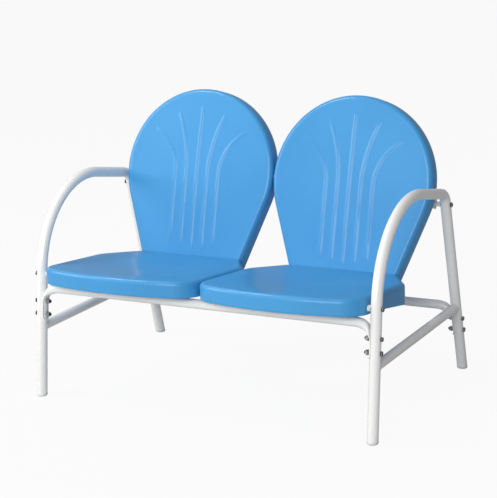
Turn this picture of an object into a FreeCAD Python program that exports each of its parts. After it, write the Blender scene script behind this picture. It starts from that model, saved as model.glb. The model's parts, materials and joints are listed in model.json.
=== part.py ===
"""Two-seat outdoor loveseat: pressed steel shell seats hung between two bent tube arm frames.

Units are millimetres. +X runs along the bench, -Y is the front, +Z is up. The origin is on
the floor, below the middle of the whole bench. The left half is the one on the -X side.
Every piece is a solid of its own and goes to one STEP file named after its node.
"""
import FreeCAD, Part
import math
import os

V = FreeCAD.Vector
X_AXIS = V(1, 0, 0)
Y_AXIS = V(0, 1, 0)
Z_AXIS = V(0, 0, 1)
FAR = 2000.0                    # larger than the bench, for cutting solids

# ---------------------------------------------------------------- driving dimensions
FRAME_WIDTH = 1100.0            # between the centre lines of the two arm frames
FOOT_SPREAD = 717.0             # front foot to rear foot, centre to centre, on the floor
SEAT_OVERHANG = 52.0            # front edge of the seats ahead of the front feet

TUBE_OD = 32.0                  # arm frame tube
RAIL_OD = 28.0                  # cross rails and side stretchers
TUBE_WALL = 1.5
LEG_TOP_SET_BACK = 79.0         # front leg line meets the arm line this far behind the foot
LEG_TOP_HEIGHT = 685.0
ARM_END_HEIGHT = 589.0          # arm line meets the rear leg line
ARM_BEHIND_BACK = 56.0          # that point behind the face of the backs, at its height
ARM_BEND_RADIUS = 277.0         # the big sweep at the front of the arm
REAR_BEND_RADIUS = 42.0

STRETCHER_HEIGHT = 214.0
FRONT_RAIL_DROP = 15.0          # top of the front rail below the front lower edge of the skirts
REAR_RAIL_HEIGHT = 216.0
RAIL_BEND_SPAN = 46.0           # straight rail ends this far inside the leg
RAIL_BEND_DROP = 32.0           # and is flat against the leg this far below its own axis
TANG_THICKNESS = 4.0              # both walls pressed together and formed round the leg
TANG_WIDTH = 30.0
NECK_STEP = 0.6                 # the pressed tang stands this much proud of the neck above it
TANG_LAP = 10.0                 # the formed tang reaches this far up behind the neck
TANG_CORNER = 8.0
PRESS_FROM = 0.3                # share of the bend where the tube starts to flatten
TANG_BOLT_DROP = 42.0           # first bolt below the rail axis, along the leg
TANG_BOLT_PITCH = 40.0
TANG_END = 16.0                 # metal past the last bolt

SHEET = 1.6                     # thickness of the pressed shells
SIDE_GAP = 9.5                  # arm frame tube to the side of a seat
SEAT_GAP = 7.0                  # between the two seats
BACK_GAP = 4.0                  # between the two backs
SEAT_DEPTH = 499.0              # front edge to the face of the back
SEAT_FRONT_RADIUS = 700.0
SEAT_CORNER_RADIUS = 80.0
SEAT_TAPER = 31.0               # degrees, how sharply the rear sides turn in
SEAT_TAPER_RADIUS = 100.0
SEAT_FRONT_HEIGHT = 415.0       # top plane of the seat at its front edge
SEAT_TILT = 6.05                # degrees, down to the rear
SEAT_EDGE_RADIUS = 14.0
SKIRT_FRONT_DEPTH = 51.0        # skirt height at the front edge
SKIRT_BREAK = 152.0             # behind this the lower edge falls more steeply
SKIRT_FRONT_SLOPE = 4.6         # degrees
SKIRT_REAR_SLOPE = 10.5         # degrees
DISH_RADIUS = 190.0             # round hollow pressed into the seat
DISH_DEPTH = 9.0
DISH_SET_BACK = 262.0           # middle of the hollow behind the front edge

BACK_CENTRE_RISE = 268.0        # middle of that round above the seat, along the back
BACK_BELOW_SEAT = 62.0          # the back reaches this far down behind the seat's rear wall
BACK_LEAN = 16.0                # degrees
BACK_SIDE_ANGLE = 19.3          # degrees, sides close in towards the seat
BACK_RIM_DEPTH = 50.0
BACK_EDGE_RADIUS = 15.0

FLUTE_RADIUS = 5.0              # raised beads pressed in the back
FLUTE_SINK = 1.6                # axis of a bead behind the face
FLUTE_TURN = 258.0              # height above the seat where the side beads start to fan out
FLUTES = (                      # distance from the middle, fan radius, bottom height, and
    (0.0, None, 16.0, 58.0),    # how far inside the round edge the bead ends
    (38.0, 432.0, 24.0, 63.0),
    (77.0, 156.0, 34.0, 57.0),
)

BOLT_D = 8.0
HOLE_FIT = 0.3                  # radial gap between a bolt and its hole in tube or sheet
HEX_AF = 1.625                  # across flats of heads and nuts, for each mm of bolt diameter
HEAD_H = 0.6625                 # the same for the height of a head,
NUT_H = 0.8125                  # the height of a nut
WASHER_OD = 2.125               # and the outside of a washer
WASHER_T = 1.6
THREAD_FIT = 0.1                # radial gap between a bolt and its nut, washer or spacer
WASHER_GAP = 0.2                # lets a flat washer clear the hollow side of a curved wall
BOLT_TAIL = 4.0                 # thread showing past the nut

SEAT_BOLT_DROP = 39.0           # side bolt of a seat below the seat's front edge
BACK_BOLT_DROP = 34.0           # side bolt of a back below the end of the arm
SEAT_SPACER_OD = 18.0
BACK_SPACER_OD = 15.0
BRACKET_T = 3.0
BRACKET_H = 30.0
BRACKET_FOOT = 44.0             # the leg that lies against the inside of the back
BRACKET_GAP = 1.0               # between the bracket and the rim beside it

SEAT_JOINT_INSETS = (63.0, 43.0)   # the bolts that join the seats, in from each end of the wall
SEAT_BACK_BOLT_INSET = 52.0     # outer bolts of a seat's rear wall, inside the edge of the back
SEAT_BACK_BOLT_DROP = 34.0      # those bolts below the seat's top plane, along the back

CLIP_X = (-130.0, 130.0)        # brackets from the front rail to each seat
CLIP_WIDTH = 30.0
CLIP_FOOT = 26.0
RAIL_SCREW_D = 6.0
RAIL_SCREW_LENGTH = 16.0

FOOT_H = 6.0                    # part of the foot below the tube
FOOT_STEM = 24.0
FOOT_FIT = 0.2
FOOT_EDGE = 1.5

# ---------------------------------------------------------------- worked-out places
TUBE_R = TUBE_OD / 2
RAIL_R = RAIL_OD / 2
SIDE_X = FRAME_WIDTH / 2
INNER_X = SIDE_X - TUBE_R       # inner side of the arm frame tube
OUTER_X = SIDE_X + TUBE_R
SEAT_HALF = (2 * INNER_X - 2 * SIDE_GAP - SEAT_GAP) / 4
SEAT_X = SEAT_HALF + SEAT_GAP / 2               # middle of the right seat and back
BACK_RADIUS = SEAT_X - BACK_GAP / 2             # round top of the back

TILT = math.radians(SEAT_TILT)
LEAN = math.radians(BACK_LEAN)
SIDE_ANGLE = math.radians(BACK_SIDE_ANGLE)
SEAT_UP = V(0, math.sin(TILT), math.cos(TILT))
BACK_UP = V(0, math.sin(LEAN), math.cos(LEAN))
BACK_OUT = V(0, math.cos(LEAN), -math.sin(LEAN))         # from the face to the rear

MEET_Z = SEAT_FRONT_HEIGHT - SEAT_DEPTH * math.tan(TILT)  # seat top meets the face of the back
ARM_END_SET_BACK = (SEAT_DEPTH - SEAT_OVERHANG + (ARM_END_HEIGHT - MEET_Z) * math.tan(LEAN)
                    + ARM_BEHIND_BACK)          # arm end behind the front foot
FRONT_RAIL_HEIGHT = SEAT_FRONT_HEIGHT - SKIRT_FRONT_DEPTH - FRONT_RAIL_DROP - RAIL_R
SEAT_BOLT_HEIGHT = SEAT_FRONT_HEIGHT - SEAT_BOLT_DROP
BACK_BOLT_HEIGHT = ARM_END_HEIGHT - BACK_BOLT_DROP
BOLT_HOLE = BOLT_D + 2 * HOLE_FIT

REAR_LEAN = math.atan2(FOOT_SPREAD - ARM_END_SET_BACK, ARM_END_HEIGHT)
FRONT_LEAN = math.atan2(LEG_TOP_SET_BACK, LEG_TOP_HEIGHT)
REAR_REACH = FOOT_SPREAD + TUBE_R / math.cos(REAR_LEAN)
FRONT_FOOT_Y = (SEAT_OVERHANG - REAR_REACH) / 2
REAR_FOOT_Y = FRONT_FOOT_Y + FOOT_SPREAD
SEAT_FRONT_Y = FRONT_FOOT_Y - SEAT_OVERHANG
MEET_Y = SEAT_FRONT_Y + SEAT_DEPTH


def front_leg_y(z):
    """Centre line of the front leg at height z."""
    return FRONT_FOOT_Y + z * math.tan(FRONT_LEAN)


def rear_leg_y(z):
    """Centre line of the rear leg at height z."""
    return REAR_FOOT_Y - z * math.tan(REAR_LEAN)


def seat_top_z(y):
    """Height of the seat's top plane at depth y."""
    return SEAT_FRONT_HEIGHT - (y - SEAT_FRONT_Y) * math.tan(TILT)


def back_point(x, rise, out):
    """A point on a back: x across, rise up along the face, out to the rear of the face."""
    return V(x, MEET_Y, MEET_Z) + BACK_UP * rise + BACK_OUT * out


def back_half_width(rise, inset=0.0):
    """Half width of a back at a height along its face: a straight side, then the round."""
    radius = BACK_RADIUS - inset
    tangent_rise = BACK_CENTRE_RISE - radius * math.sin(SIDE_ANGLE)
    if rise < tangent_rise:
        return radius * math.cos(SIDE_ANGLE) - (tangent_rise - rise) * math.tan(SIDE_ANGLE)
    return math.sqrt(radius ** 2 - (rise - BACK_CENTRE_RISE) ** 2)


# ---------------------------------------------------------------- small helpers
def half_space(point, normal):
    """A block that fills the side of a plane that its normal points to."""
    block = Part.makeBox(2 * FAR, 2 * FAR, FAR, V(-FAR, -FAR, 0))
    block.Placement = FreeCAD.Placement(point, FreeCAD.Rotation(Z_AXIS, normal))
    return block


def rod(start, end, radius):
    """A round bar from one point to another."""
    return Part.makeCylinder(radius, (end - start).Length, start, end - start)


def bore(solid, centre, axis, diameter):
    """The solid with a round hole right through it, or through as much as the axis spans."""
    return solid.cut(rod(centre - axis, centre + axis, diameter / 2))


def hexagon(start, axis, across_flats, height):
    """A hexagonal prism on the given axis."""
    corner = across_flats / math.sqrt(3)
    ring = [V(corner * math.cos(i * math.pi / 3), corner * math.sin(i * math.pi / 3), 0)
            for i in range(6)]
    prism = Part.Face(Part.makePolygon(ring + ring[:1])).extrude(V(0, 0, height))
    prism.Placement = FreeCAD.Placement(start, FreeCAD.Rotation(Z_AXIS, axis))
    return prism


def hex_screw(seat, axis, length, diameter):
    """Hexagon screw: head behind the seat point, shank of this length along the axis."""
    unit = V(axis).normalize()
    height = HEAD_H * diameter
    head = hexagon(seat - unit * height, unit, HEX_AF * diameter, height)
    return head.fuse(rod(seat, seat + unit * length, diameter / 2)).removeSplitter()


def hex_bolt(seat, axis, grip):
    """Hexagon bolt long enough for the grip, its nut and a tail."""
    return hex_screw(seat, axis, grip + NUT_H * BOLT_D + BOLT_TAIL, BOLT_D)


def hex_nut(seat, axis):
    """Nut that starts at the seat point and stands along the axis."""
    unit = V(axis).normalize()
    body = hexagon(seat, unit, HEX_AF * BOLT_D, NUT_H * BOLT_D)
    return bore(body, seat, unit * FAR, BOLT_D + 2 * THREAD_FIT)


def ring(seat, axis, length, outer_d, inner_d):
    """Washer or spacer that starts at the seat point."""
    unit = V(axis).normalize()
    outer = rod(seat, seat + unit * length, outer_d / 2)
    return outer.cut(rod(seat - unit, seat + unit * (length + 1), inner_d / 2))


def washer(seat, axis, diameter=BOLT_D):
    """Flat washer to suit a bolt."""
    return ring(seat, axis, WASHER_T, WASHER_OD * diameter, diameter + 2 * THREAD_FIT)


def mirror(shape):
    """The same piece for the other side of the bench."""
    return shape.mirror(V(0, 0, 0), X_AXIS)


def moved(shape, dx):
    """A copy of the piece shifted along the bench."""
    copy = shape.copy()
    copy.translate(V(dx, 0, 0))
    return copy


# ---------------------------------------------------------------- arm frames
def bend(before, corner, after, radius):
    """The two ends and the middle of the arc that rounds a corner of a tube's path."""
    a = (before - corner).normalize()
    b = (after - corner).normalize()
    half = a.getAngle(b) / 2
    start = corner + a * (radius / math.tan(half))
    end = corner + b * (radius / math.tan(half))
    inward = (a + b).normalize()
    middle = corner + inward * (radius / math.sin(half) - radius)
    return start, middle, end


def side_path():
    """Centre line of the right arm frame, from below the front foot to below the rear one."""
    knee = V(SIDE_X, FRONT_FOOT_Y + LEG_TOP_SET_BACK, LEG_TOP_HEIGHT)
    heel = V(SIDE_X, FRONT_FOOT_Y + ARM_END_SET_BACK, ARM_END_HEIGHT)
    below = -TUBE_OD
    start = V(SIDE_X, front_leg_y(below), below)
    end = V(SIDE_X, rear_leg_y(below), below)
    a0, am, a1 = bend(start, knee, heel, ARM_BEND_RADIUS)
    b0, bm, b1 = bend(knee, heel, end, REAR_BEND_RADIUS)
    return Part.Wire([
        Part.makeLine(start, a0),
        Part.Arc(a0, am, a1).toShape(),
        Part.makeLine(a1, b0),
        Part.Arc(b0, bm, b1).toShape(),
        Part.makeLine(b1, end),
    ])


def swept(path, radius):
    """Round bar along a path."""
    first = path.Vertexes[0].Point
    tangent = path.Edges[0].tangentAt(path.Edges[0].FirstParameter)
    section = Part.Wire([Part.makeCircle(radius, first, tangent)])
    return path.makePipeShell([section], True, False)


def side_frame():
    """Right arm frame: one tube bent into front leg, arm and rear leg."""
    tube = swept(side_path(), TUBE_R).cut(swept(side_path(), TUBE_R - TUBE_WALL))
    tube = tube.common(half_space(V(0, 0, FOOT_H), Z_AXIS))
    for point in leg_bolt_points():
        tube = bore(tube, point, X_AXIS * TUBE_OD, BOLT_HOLE)
    return tube


def foot(y, lean_y):
    """Push-in foot: a stem inside the tube and a flat-bottomed part below it."""
    axis = V(0, lean_y, 1).normalize()
    base = V(SIDE_X, y, 0)
    shell = rod(base - axis * TUBE_OD, base + axis * TUBE_OD, TUBE_R)
    slab = half_space(V(0, 0, 0), Z_AXIS).cut(half_space(V(0, 0, FOOT_H), Z_AXIS))
    pad = shell.common(slab)
    rim = [e for e in pad.Edges if e.BoundBox.ZMax < FOOT_EDGE / 2]
    pad = pad.makeFillet(FOOT_EDGE, rim)
    stem = rod(base, base + axis * (FOOT_H + FOOT_STEM), TUBE_R - TUBE_WALL - FOOT_FIT)
    stem = stem.common(half_space(V(0, 0, FOOT_H), Z_AXIS))
    return pad.fuse(stem).removeSplitter()


def side_stretcher():
    """Level tube welded between the legs of the right arm frame."""
    z = STRETCHER_HEIGHT
    start = V(SIDE_X, front_leg_y(z), z)
    end = V(SIDE_X, rear_leg_y(z), z)
    tube = rod(start, end, RAIL_R).cut(rod(start, end, RAIL_R - TUBE_WALL))
    for low, high in ((V(SIDE_X, front_leg_y(0), 0), V(SIDE_X, front_leg_y(FAR), FAR)),
                      (V(SIDE_X, rear_leg_y(0), 0), V(SIDE_X, rear_leg_y(FAR), FAR))):
        tube = tube.cut(rod(low, high, TUBE_R))
    return max(tube.Solids, key=lambda s: s.Volume)


# ---------------------------------------------------------------- cross rails
def leg_down(lean_y):
    """Unit vector down a leg that leans by lean_y for each unit of height."""
    return V(0, -lean_y, -1).normalize()


FRONT_DOWN = leg_down(math.tan(FRONT_LEAN))
REAR_DOWN = leg_down(-math.tan(REAR_LEAN))


def rail_axis(height, leg_y):
    """Middle of a rail, between the legs."""
    return V(0, leg_y(height), height)


def tang_bolts(height, leg_y, down):
    """The two bolt points of a rail end, on the centre line of the right leg."""
    top = V(SIDE_X, leg_y(height), height)
    return [top + down * (TANG_BOLT_DROP + i * TANG_BOLT_PITCH) for i in range(2)]


def front_tang_bolts():
    """Bolt points of the front rail on the right leg."""
    return tang_bolts(FRONT_RAIL_HEIGHT, front_leg_y, FRONT_DOWN)


def rear_tang_bolts():
    """Bolt points of the rear rail on the right leg."""
    return tang_bolts(REAR_RAIL_HEIGHT, rear_leg_y, REAR_DOWN)


def seat_side_point():
    """Bolt point of the seat on the right front leg."""
    return V(SIDE_X, front_leg_y(SEAT_BOLT_HEIGHT), SEAT_BOLT_HEIGHT)


def back_side_point():
    """Bolt point of the back on the right rear leg."""
    return V(SIDE_X, rear_leg_y(BACK_BOLT_HEIGHT), BACK_BOLT_HEIGHT)


def leg_bolt_points():
    """Every bolt that crosses the right arm frame."""
    return front_tang_bolts() + rear_tang_bolts() + [seat_side_point(), back_side_point()]


def flattened_section(centre, direction, across, thick, wide):
    """Outline of a tube that is being squashed, square to its path: a circle, then ellipses."""
    short_axis = direction.cross(across)
    if wide - thick < 0.01:
        outline = Part.Circle(centre, across.cross(short_axis), wide / 2)
        outline.XAxis = across
    else:
        outline = Part.Ellipse(centre + across * (wide / 2), centre + short_axis * (thick / 2),
                               centre)
    return Part.Wire([outline.toShape()])


def rail_end(axis_point, down):
    """Right end of a rail: the tube turns down, flattens and cups the leg it is bolted to."""
    across = X_AXIS.cross(down).normalize()
    flat_x = INNER_X - TANG_THICKNESS / 2
    bend_x = INNER_X - RAIL_BEND_SPAN
    steps = 8
    sections = []
    for i in range(steps + 1):
        t = i / steps
        angle = t * math.pi / 2
        x = bend_x + (flat_x - bend_x) * math.sin(angle)
        drop = RAIL_BEND_DROP * (1 - math.cos(angle))
        centre = V(x, axis_point.y, axis_point.z) + down * drop
        direction = X_AXIS * ((flat_x - bend_x) * math.cos(angle))
        direction = (direction + down * (RAIL_BEND_DROP * math.sin(angle))).normalize()
        press = max(0.0, (t - PRESS_FROM) / (1 - PRESS_FROM))
        ease = press * press * (3 - 2 * press)
        thick = RAIL_OD + (TANG_THICKNESS - NECK_STEP - RAIL_OD) * ease
        wide = RAIL_OD + (TANG_WIDTH - NECK_STEP - RAIL_OD) * ease
        sections.append(flattened_section(centre, direction, across, thick, wide))
    neck = Part.makeLoft(sections, True, False)
    leg = V(SIDE_X, axis_point.y, axis_point.z)
    top = leg + down * (RAIL_BEND_DROP - TANG_LAP)
    bottom = leg + down * (TANG_BOLT_DROP + TANG_BOLT_PITCH + TANG_END)
    reach = TUBE_R + TANG_THICKNESS
    blank = Part.makeBox(reach, TANG_WIDTH, (bottom - top).Length)
    low = [e for e in blank.Edges if e.BoundBox.XLength > 1 and e.BoundBox.ZMin > 1]
    blank = blank.makeFillet(TANG_CORNER, low)
    blank.translate(V(-reach, -TANG_WIDTH / 2, 0))
    blank.Placement = FreeCAD.Placement(top, FreeCAD.Rotation(X_AXIS, across, down)).multiply(
        blank.Placement)
    tang = blank.common(rod(top - down, bottom + down, reach))
    return neck.fuse(tang).cut(rod(leg, bottom + down, TUBE_R))


def cross_rail(height, leg_y, down, bolts):
    """A rail from leg to leg with a flattened, bolted end on each side."""
    middle = rail_axis(height, leg_y)
    bend_x = INNER_X - RAIL_BEND_SPAN
    bar = rod(middle - X_AXIS * bend_x, middle + X_AXIS * bend_x, RAIL_R)
    end = rail_end(middle, down)
    rail = bar.fuse([end, mirror(end)])
    inside = bend_x - TUBE_WALL
    rail = rail.cut(rod(middle - X_AXIS * inside, middle + X_AXIS * inside, RAIL_R - TUBE_WALL))
    for point in bolts:
        for side in (1, -1):
            rail = bore(rail, V(side * point.x, point.y, point.z), X_AXIS * RAIL_BEND_SPAN,
                        BOLT_HOLE)
    return rail


def front_rail():
    """Rail between the front legs, with holes in its top for the seat bracket screws."""
    rail = cross_rail(FRONT_RAIL_HEIGHT, front_leg_y, FRONT_DOWN, front_tang_bolts())
    for x in clip_places():
        centre = rail_axis(FRONT_RAIL_HEIGHT, front_leg_y) + X_AXIS * x
        rail = rail.cut(rod(centre, centre + Z_AXIS * RAIL_OD,
                            RAIL_SCREW_D / 2 + THREAD_FIT))
    return rail


def rear_rail():
    """Rail between the rear legs."""
    return cross_rail(REAR_RAIL_HEIGHT, rear_leg_y, REAR_DOWN, rear_tang_bolts())


# ---------------------------------------------------------------- seats
def seat_corner():
    """Centres of the wide front curve and of the right front corner, in plan."""
    front_c = V(0, SEAT_FRONT_Y + SEAT_FRONT_RADIUS, 0)
    x = SEAT_HALF - SEAT_CORNER_RADIUS
    reach = SEAT_FRONT_RADIUS - SEAT_CORNER_RADIUS
    return front_c, V(x, front_c.y - math.sqrt(reach ** 2 - x ** 2), 0)


def seat_turn():
    """Centre of the curve where the right side of a seat turns in to the rear, in plan."""
    taper = math.radians(SEAT_TAPER)
    x = SEAT_HALF - SEAT_TAPER_RADIUS
    run = (x + SEAT_TAPER_RADIUS * math.cos(taper) - back_half_width(0)) / math.tan(taper)
    return V(x, MEET_Y - run - SEAT_TAPER_RADIUS * math.sin(taper), 0)


def seat_wall_x(y, inset):
    """Half width of the seat at depth y, ahead of the taper, moved inwards by the inset."""
    corner_c = seat_corner()[1]
    if y >= corner_c.y:
        return SEAT_HALF - inset
    radius = SEAT_CORNER_RADIUS - inset
    return corner_c.x + math.sqrt(radius ** 2 - (corner_c.y - y) ** 2)


def seat_outline(inset):
    """Plan outline of a seat about its own middle, moved inwards by the inset."""
    front_c, corner_c = seat_corner()
    taper = math.radians(SEAT_TAPER)
    turn_c = seat_turn()

    front_r = SEAT_FRONT_RADIUS - inset
    corner_r = SEAT_CORNER_RADIUS - inset
    turn_r = SEAT_TAPER_RADIUS - inset
    front = front_c - Y_AXIS * front_r
    blend = front_c + (corner_c - front_c).normalize() * front_r
    corner_angle = ((blend - corner_c).getAngle(X_AXIS)) / 2
    corner_mid = corner_c + V(math.cos(corner_angle), -math.sin(corner_angle), 0) * corner_r
    side = corner_c + X_AXIS * corner_r
    turn_0 = turn_c + X_AXIS * turn_r
    turn_m = turn_c + V(math.cos(taper / 2), math.sin(taper / 2), 0) * turn_r
    turn_1 = turn_c + V(math.cos(taper), math.sin(taper), 0) * turn_r
    past = MEET_Y + BACK_RIM_DEPTH - turn_1.y
    tail = turn_1 + V(-math.tan(taper), 1, 0) * past

    def other(p):
        return V(-p.x, p.y, p.z)

    return Part.Wire([
        Part.Arc(other(blend), front, blend).toShape(),
        Part.Arc(blend, corner_mid, side).toShape(),
        Part.makeLine(side, turn_0),
        Part.Arc(turn_0, turn_m, turn_1).toShape(),
        Part.makeLine(turn_1, tail),
        Part.makeLine(tail, other(tail)),
        Part.makeLine(other(tail), other(turn_1)),
        Part.Arc(other(turn_1), other(turn_m), other(turn_0)).toShape(),
        Part.makeLine(other(turn_0), other(side)),
        Part.Arc(other(side), other(corner_mid), other(blend)).toShape(),
    ])


def seat_block(inset):
    """Solid seat with the inset taken off its sides, its top and its rear."""
    block = Part.Face(seat_outline(inset)).extrude(V(0, 0, 2 * SEAT_FRONT_HEIGHT))
    top = V(0, SEAT_FRONT_Y, SEAT_FRONT_HEIGHT) - SEAT_UP * inset
    block = block.cut(half_space(top, SEAT_UP))
    return block.cut(half_space(back_point(0, 0, -inset), BACK_OUT))


def rounded_top(block, point, up, radius):
    """The block with the edges round its top face rounded."""
    edges = []
    for edge in block.Edges:
        spread = [abs((edge.valueAt(p) - point).dot(up)) for p in
                  (edge.FirstParameter, (edge.FirstParameter + edge.LastParameter) / 2,
                   edge.LastParameter)]
        if max(spread) < 0.01:
            edges.append(edge)
    return block.makeFillet(radius, edges)


def below_skirt():
    """Everything under the lower edge of the skirt, which falls in two slopes."""
    front = math.radians(SKIRT_FRONT_SLOPE)
    rear = math.radians(SKIRT_REAR_SLOPE)
    z = SEAT_FRONT_HEIGHT - SKIRT_FRONT_DEPTH - SKIRT_BREAK * math.tan(front)
    hinge = V(0, SEAT_FRONT_Y + SKIRT_BREAK, z)
    under_front = half_space(hinge, V(0, -math.sin(front), -math.cos(front)))
    under_rear = half_space(hinge, V(0, -math.sin(rear), -math.cos(rear)))
    return under_front.common(under_rear)


def dish(extra):
    """Ball that presses the round hollow into the seat, enlarged for its lower side."""
    radius = (DISH_RADIUS ** 2 + DISH_DEPTH ** 2) / (2 * DISH_DEPTH)
    y = SEAT_FRONT_Y + DISH_SET_BACK
    centre = V(0, y, seat_top_z(y)) + SEAT_UP * (radius - DISH_DEPTH)
    return Part.makeSphere(radius + extra, centre)


def seat_shell():
    """Pressed seat about its own middle: dished top, rolled edge and deep skirt."""
    top = V(0, SEAT_FRONT_Y, SEAT_FRONT_HEIGHT)
    outer = rounded_top(seat_block(0), top, SEAT_UP, SEAT_EDGE_RADIUS)
    outer = outer.cut(dish(0)).cut(below_skirt())
    inner = rounded_top(seat_block(SHEET), top - SEAT_UP * SHEET, SEAT_UP,
                        SEAT_EDGE_RADIUS - SHEET)
    inner = inner.cut(dish(SHEET))
    shell = outer.cut(inner)
    for x in seat_back_bolt_x():
        shell = bore(shell, back_point(x, -SEAT_BACK_BOLT_DROP, 0), BACK_OUT * TUBE_OD,
                     BOLT_HOLE)
    return shell


def seat_joint_points():
    """Where the bolts that join the two seats cross the middle of the bench."""
    front, rear = SEAT_JOINT_INSETS
    depths = (seat_corner()[1].y + front, seat_turn().y - rear)
    return [V(0, y, seat_top_z(y) - SKIRT_FRONT_DEPTH * 0.55) for y in depths]


def seat_back_bolt_x():
    """Bolts through the rear wall of a seat, across from its middle."""
    outer = back_half_width(-SEAT_BACK_BOLT_DROP) - SEAT_BACK_BOLT_INSET
    return (-outer, 0.0, outer)


def right_seat():
    """Right seat in place, with its side bolt hole and joining bolt holes."""
    shell = moved(seat_shell(), SEAT_X)
    shell = bore(shell, seat_side_point(), X_AXIS * 2 * TUBE_OD, BOLT_HOLE)
    for point in seat_joint_points():
        shell = bore(shell, point, X_AXIS * TUBE_OD, BOLT_HOLE)
    return shell


# ---------------------------------------------------------------- backs
def on_back(x, rise):
    """Point on the face plane of a back about its own middle."""
    return back_point(x, rise, 0)


def back_outline(inset):
    """Outline of a back in its face plane, moved inwards by the inset."""
    radius = BACK_RADIUS - inset
    tangent = (radius * math.cos(SIDE_ANGLE), BACK_CENTRE_RISE - radius * math.sin(SIDE_ANGLE))
    bottom = -BACK_BELOW_SEAT + inset
    foot_x = back_half_width(bottom, inset)
    top = BACK_CENTRE_RISE + radius
    return Part.Wire([
        Part.Arc(on_back(*tangent), on_back(0, top), on_back(-tangent[0], tangent[1])).toShape(),
        Part.makeLine(on_back(-tangent[0], tangent[1]), on_back(-foot_x, bottom)),
        Part.makeLine(on_back(-foot_x, bottom), on_back(foot_x, bottom)),
        Part.makeLine(on_back(foot_x, bottom), on_back(*tangent)),
    ])


def fan_sweep(x, fan, margin):
    """Angle through which a bead curls out before it is the margin inside the round edge."""
    across, up = x + fan, FLUTE_TURN - BACK_CENTRE_RISE
    reach = math.hypot(across, up)
    near = BACK_RADIUS - margin
    turn = math.acos((reach ** 2 + fan ** 2 - near ** 2) / (2 * reach * fan))
    return turn - math.atan2(up, across)


def flute(x, fan, bottom, margin):
    """One raised bead of the back, straight or curling outwards at the top."""
    sink = BACK_OUT * FLUTE_SINK
    start = on_back(x, bottom) + sink
    if fan is None:
        end = on_back(x, BACK_CENTRE_RISE + BACK_RADIUS - margin) + sink
        bead = rod(start, end, FLUTE_RADIUS)
    else:
        turn = on_back(x, FLUTE_TURN) + sink
        sweep = fan_sweep(x, fan, margin)
        middle = on_back(x + fan * (1 - math.cos(sweep / 2)),
                         FLUTE_TURN + fan * math.sin(sweep / 2)) + sink
        end = on_back(x + fan * (1 - math.cos(sweep)), FLUTE_TURN + fan * math.sin(sweep)) + sink
        path = Part.Wire([Part.makeLine(start, turn), Part.Arc(turn, middle, end).toShape()])
        bead = swept(path, FLUTE_RADIUS)
    ends = [Part.makeSphere(FLUTE_RADIUS, p) for p in (start, end)]
    return bead.fuse(ends)


def flute_places():
    """Every bead of one back, with the side ones on both sides."""
    beads = []
    for x, fan, bottom, margin in FLUTES:
        bead = flute(x, fan, bottom, margin)
        beads.append(bead)
        if fan is not None:
            beads.append(mirror(bead))
    return beads


def back_shell():
    """Pressed back about its own middle: fluted face, rolled edge and turned rim."""
    face = on_back(0, 0)
    front_up = BACK_OUT * -1
    outer = Part.Face(back_outline(0)).extrude(BACK_OUT * BACK_RIM_DEPTH)
    outer = rounded_top(outer, face, front_up, BACK_EDGE_RADIUS)
    inner = Part.Face(back_outline(SHEET)).extrude(BACK_OUT * (BACK_RIM_DEPTH + SHEET))
    inner = rounded_top(inner, face, front_up, BACK_EDGE_RADIUS - SHEET)
    inner.translate(BACK_OUT * SHEET)
    shell = outer.cut(inner)
    rear = half_space(face + BACK_OUT * SHEET, BACK_OUT)
    beads = [bead.cut(rear) for bead in flute_places()]
    shell = shell.fuse(beads).removeSplitter()
    for x in seat_back_bolt_x():
        shell = bore(shell, back_point(x, -SEAT_BACK_BOLT_DROP, 0), BACK_OUT * TUBE_OD,
                     BOLT_HOLE)
    return shell


def back_joint_point():
    """Where the bolt that joins the two backs crosses the middle of the bench."""
    return back_point(0, BACK_CENTRE_RISE, BACK_RIM_DEPTH / 2)


def right_back():
    """Right back in place, with its joining bolt hole."""
    shell = moved(back_shell(), SEAT_X)
    return bore(shell, back_joint_point(), X_AXIS * TUBE_OD, BOLT_HOLE)


def back_bracket_x():
    """Outer face of the back bracket, just inside the narrowest part of the rim beside it."""
    middle = (back_side_point() - back_point(0, 0, 0)).dot(BACK_UP)
    ends = (middle - BRACKET_H / 2, middle + BRACKET_H / 2)
    return SEAT_X + min(back_half_width(end, SHEET) for end in ends) - BRACKET_GAP


def bent_corner(block, x, radius):
    """The block with its upright edge at this x and y = 0 rounded, as a bent strip is."""
    edge = [e for e in block.Edges if e.BoundBox.XMin > x - 0.01 and e.BoundBox.YMax < 0.01
            and e.BoundBox.ZLength > 1]
    return block.makeFillet(radius, edge)


def back_bracket():
    """Right bracket: one leg on the inside of the back, one past the rim to the rear leg."""
    point = back_side_point() - back_point(0, 0, 0)
    low = point.dot(BACK_UP) - BRACKET_H / 2
    reach = point.dot(BACK_OUT) + BRACKET_H / 2
    x = back_bracket_x()
    size = (BRACKET_FOOT, reach - SHEET, BRACKET_H)
    angle = bent_corner(Part.makeBox(*size), BRACKET_FOOT, BACK_EDGE_RADIUS)
    hollow = bent_corner(Part.makeBox(*size), BRACKET_FOOT, BACK_EDGE_RADIUS - BRACKET_T)
    angle = angle.cut(hollow.translated(V(-BRACKET_T, BRACKET_T, 0)))
    turn = FreeCAD.Rotation(X_AXIS, BACK_OUT, BACK_UP)
    angle.Placement = FreeCAD.Placement(back_point(x - BRACKET_FOOT, low, SHEET), turn)
    return bore(angle, back_side_point(), X_AXIS * 3 * TUBE_OD, BOLT_HOLE)


# ---------------------------------------------------------------- seat brackets
def clip_places():
    """Middle of each seat bracket along the bench."""
    return [side * SEAT_X + x for side in (-1, 1) for x in CLIP_X]


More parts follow.
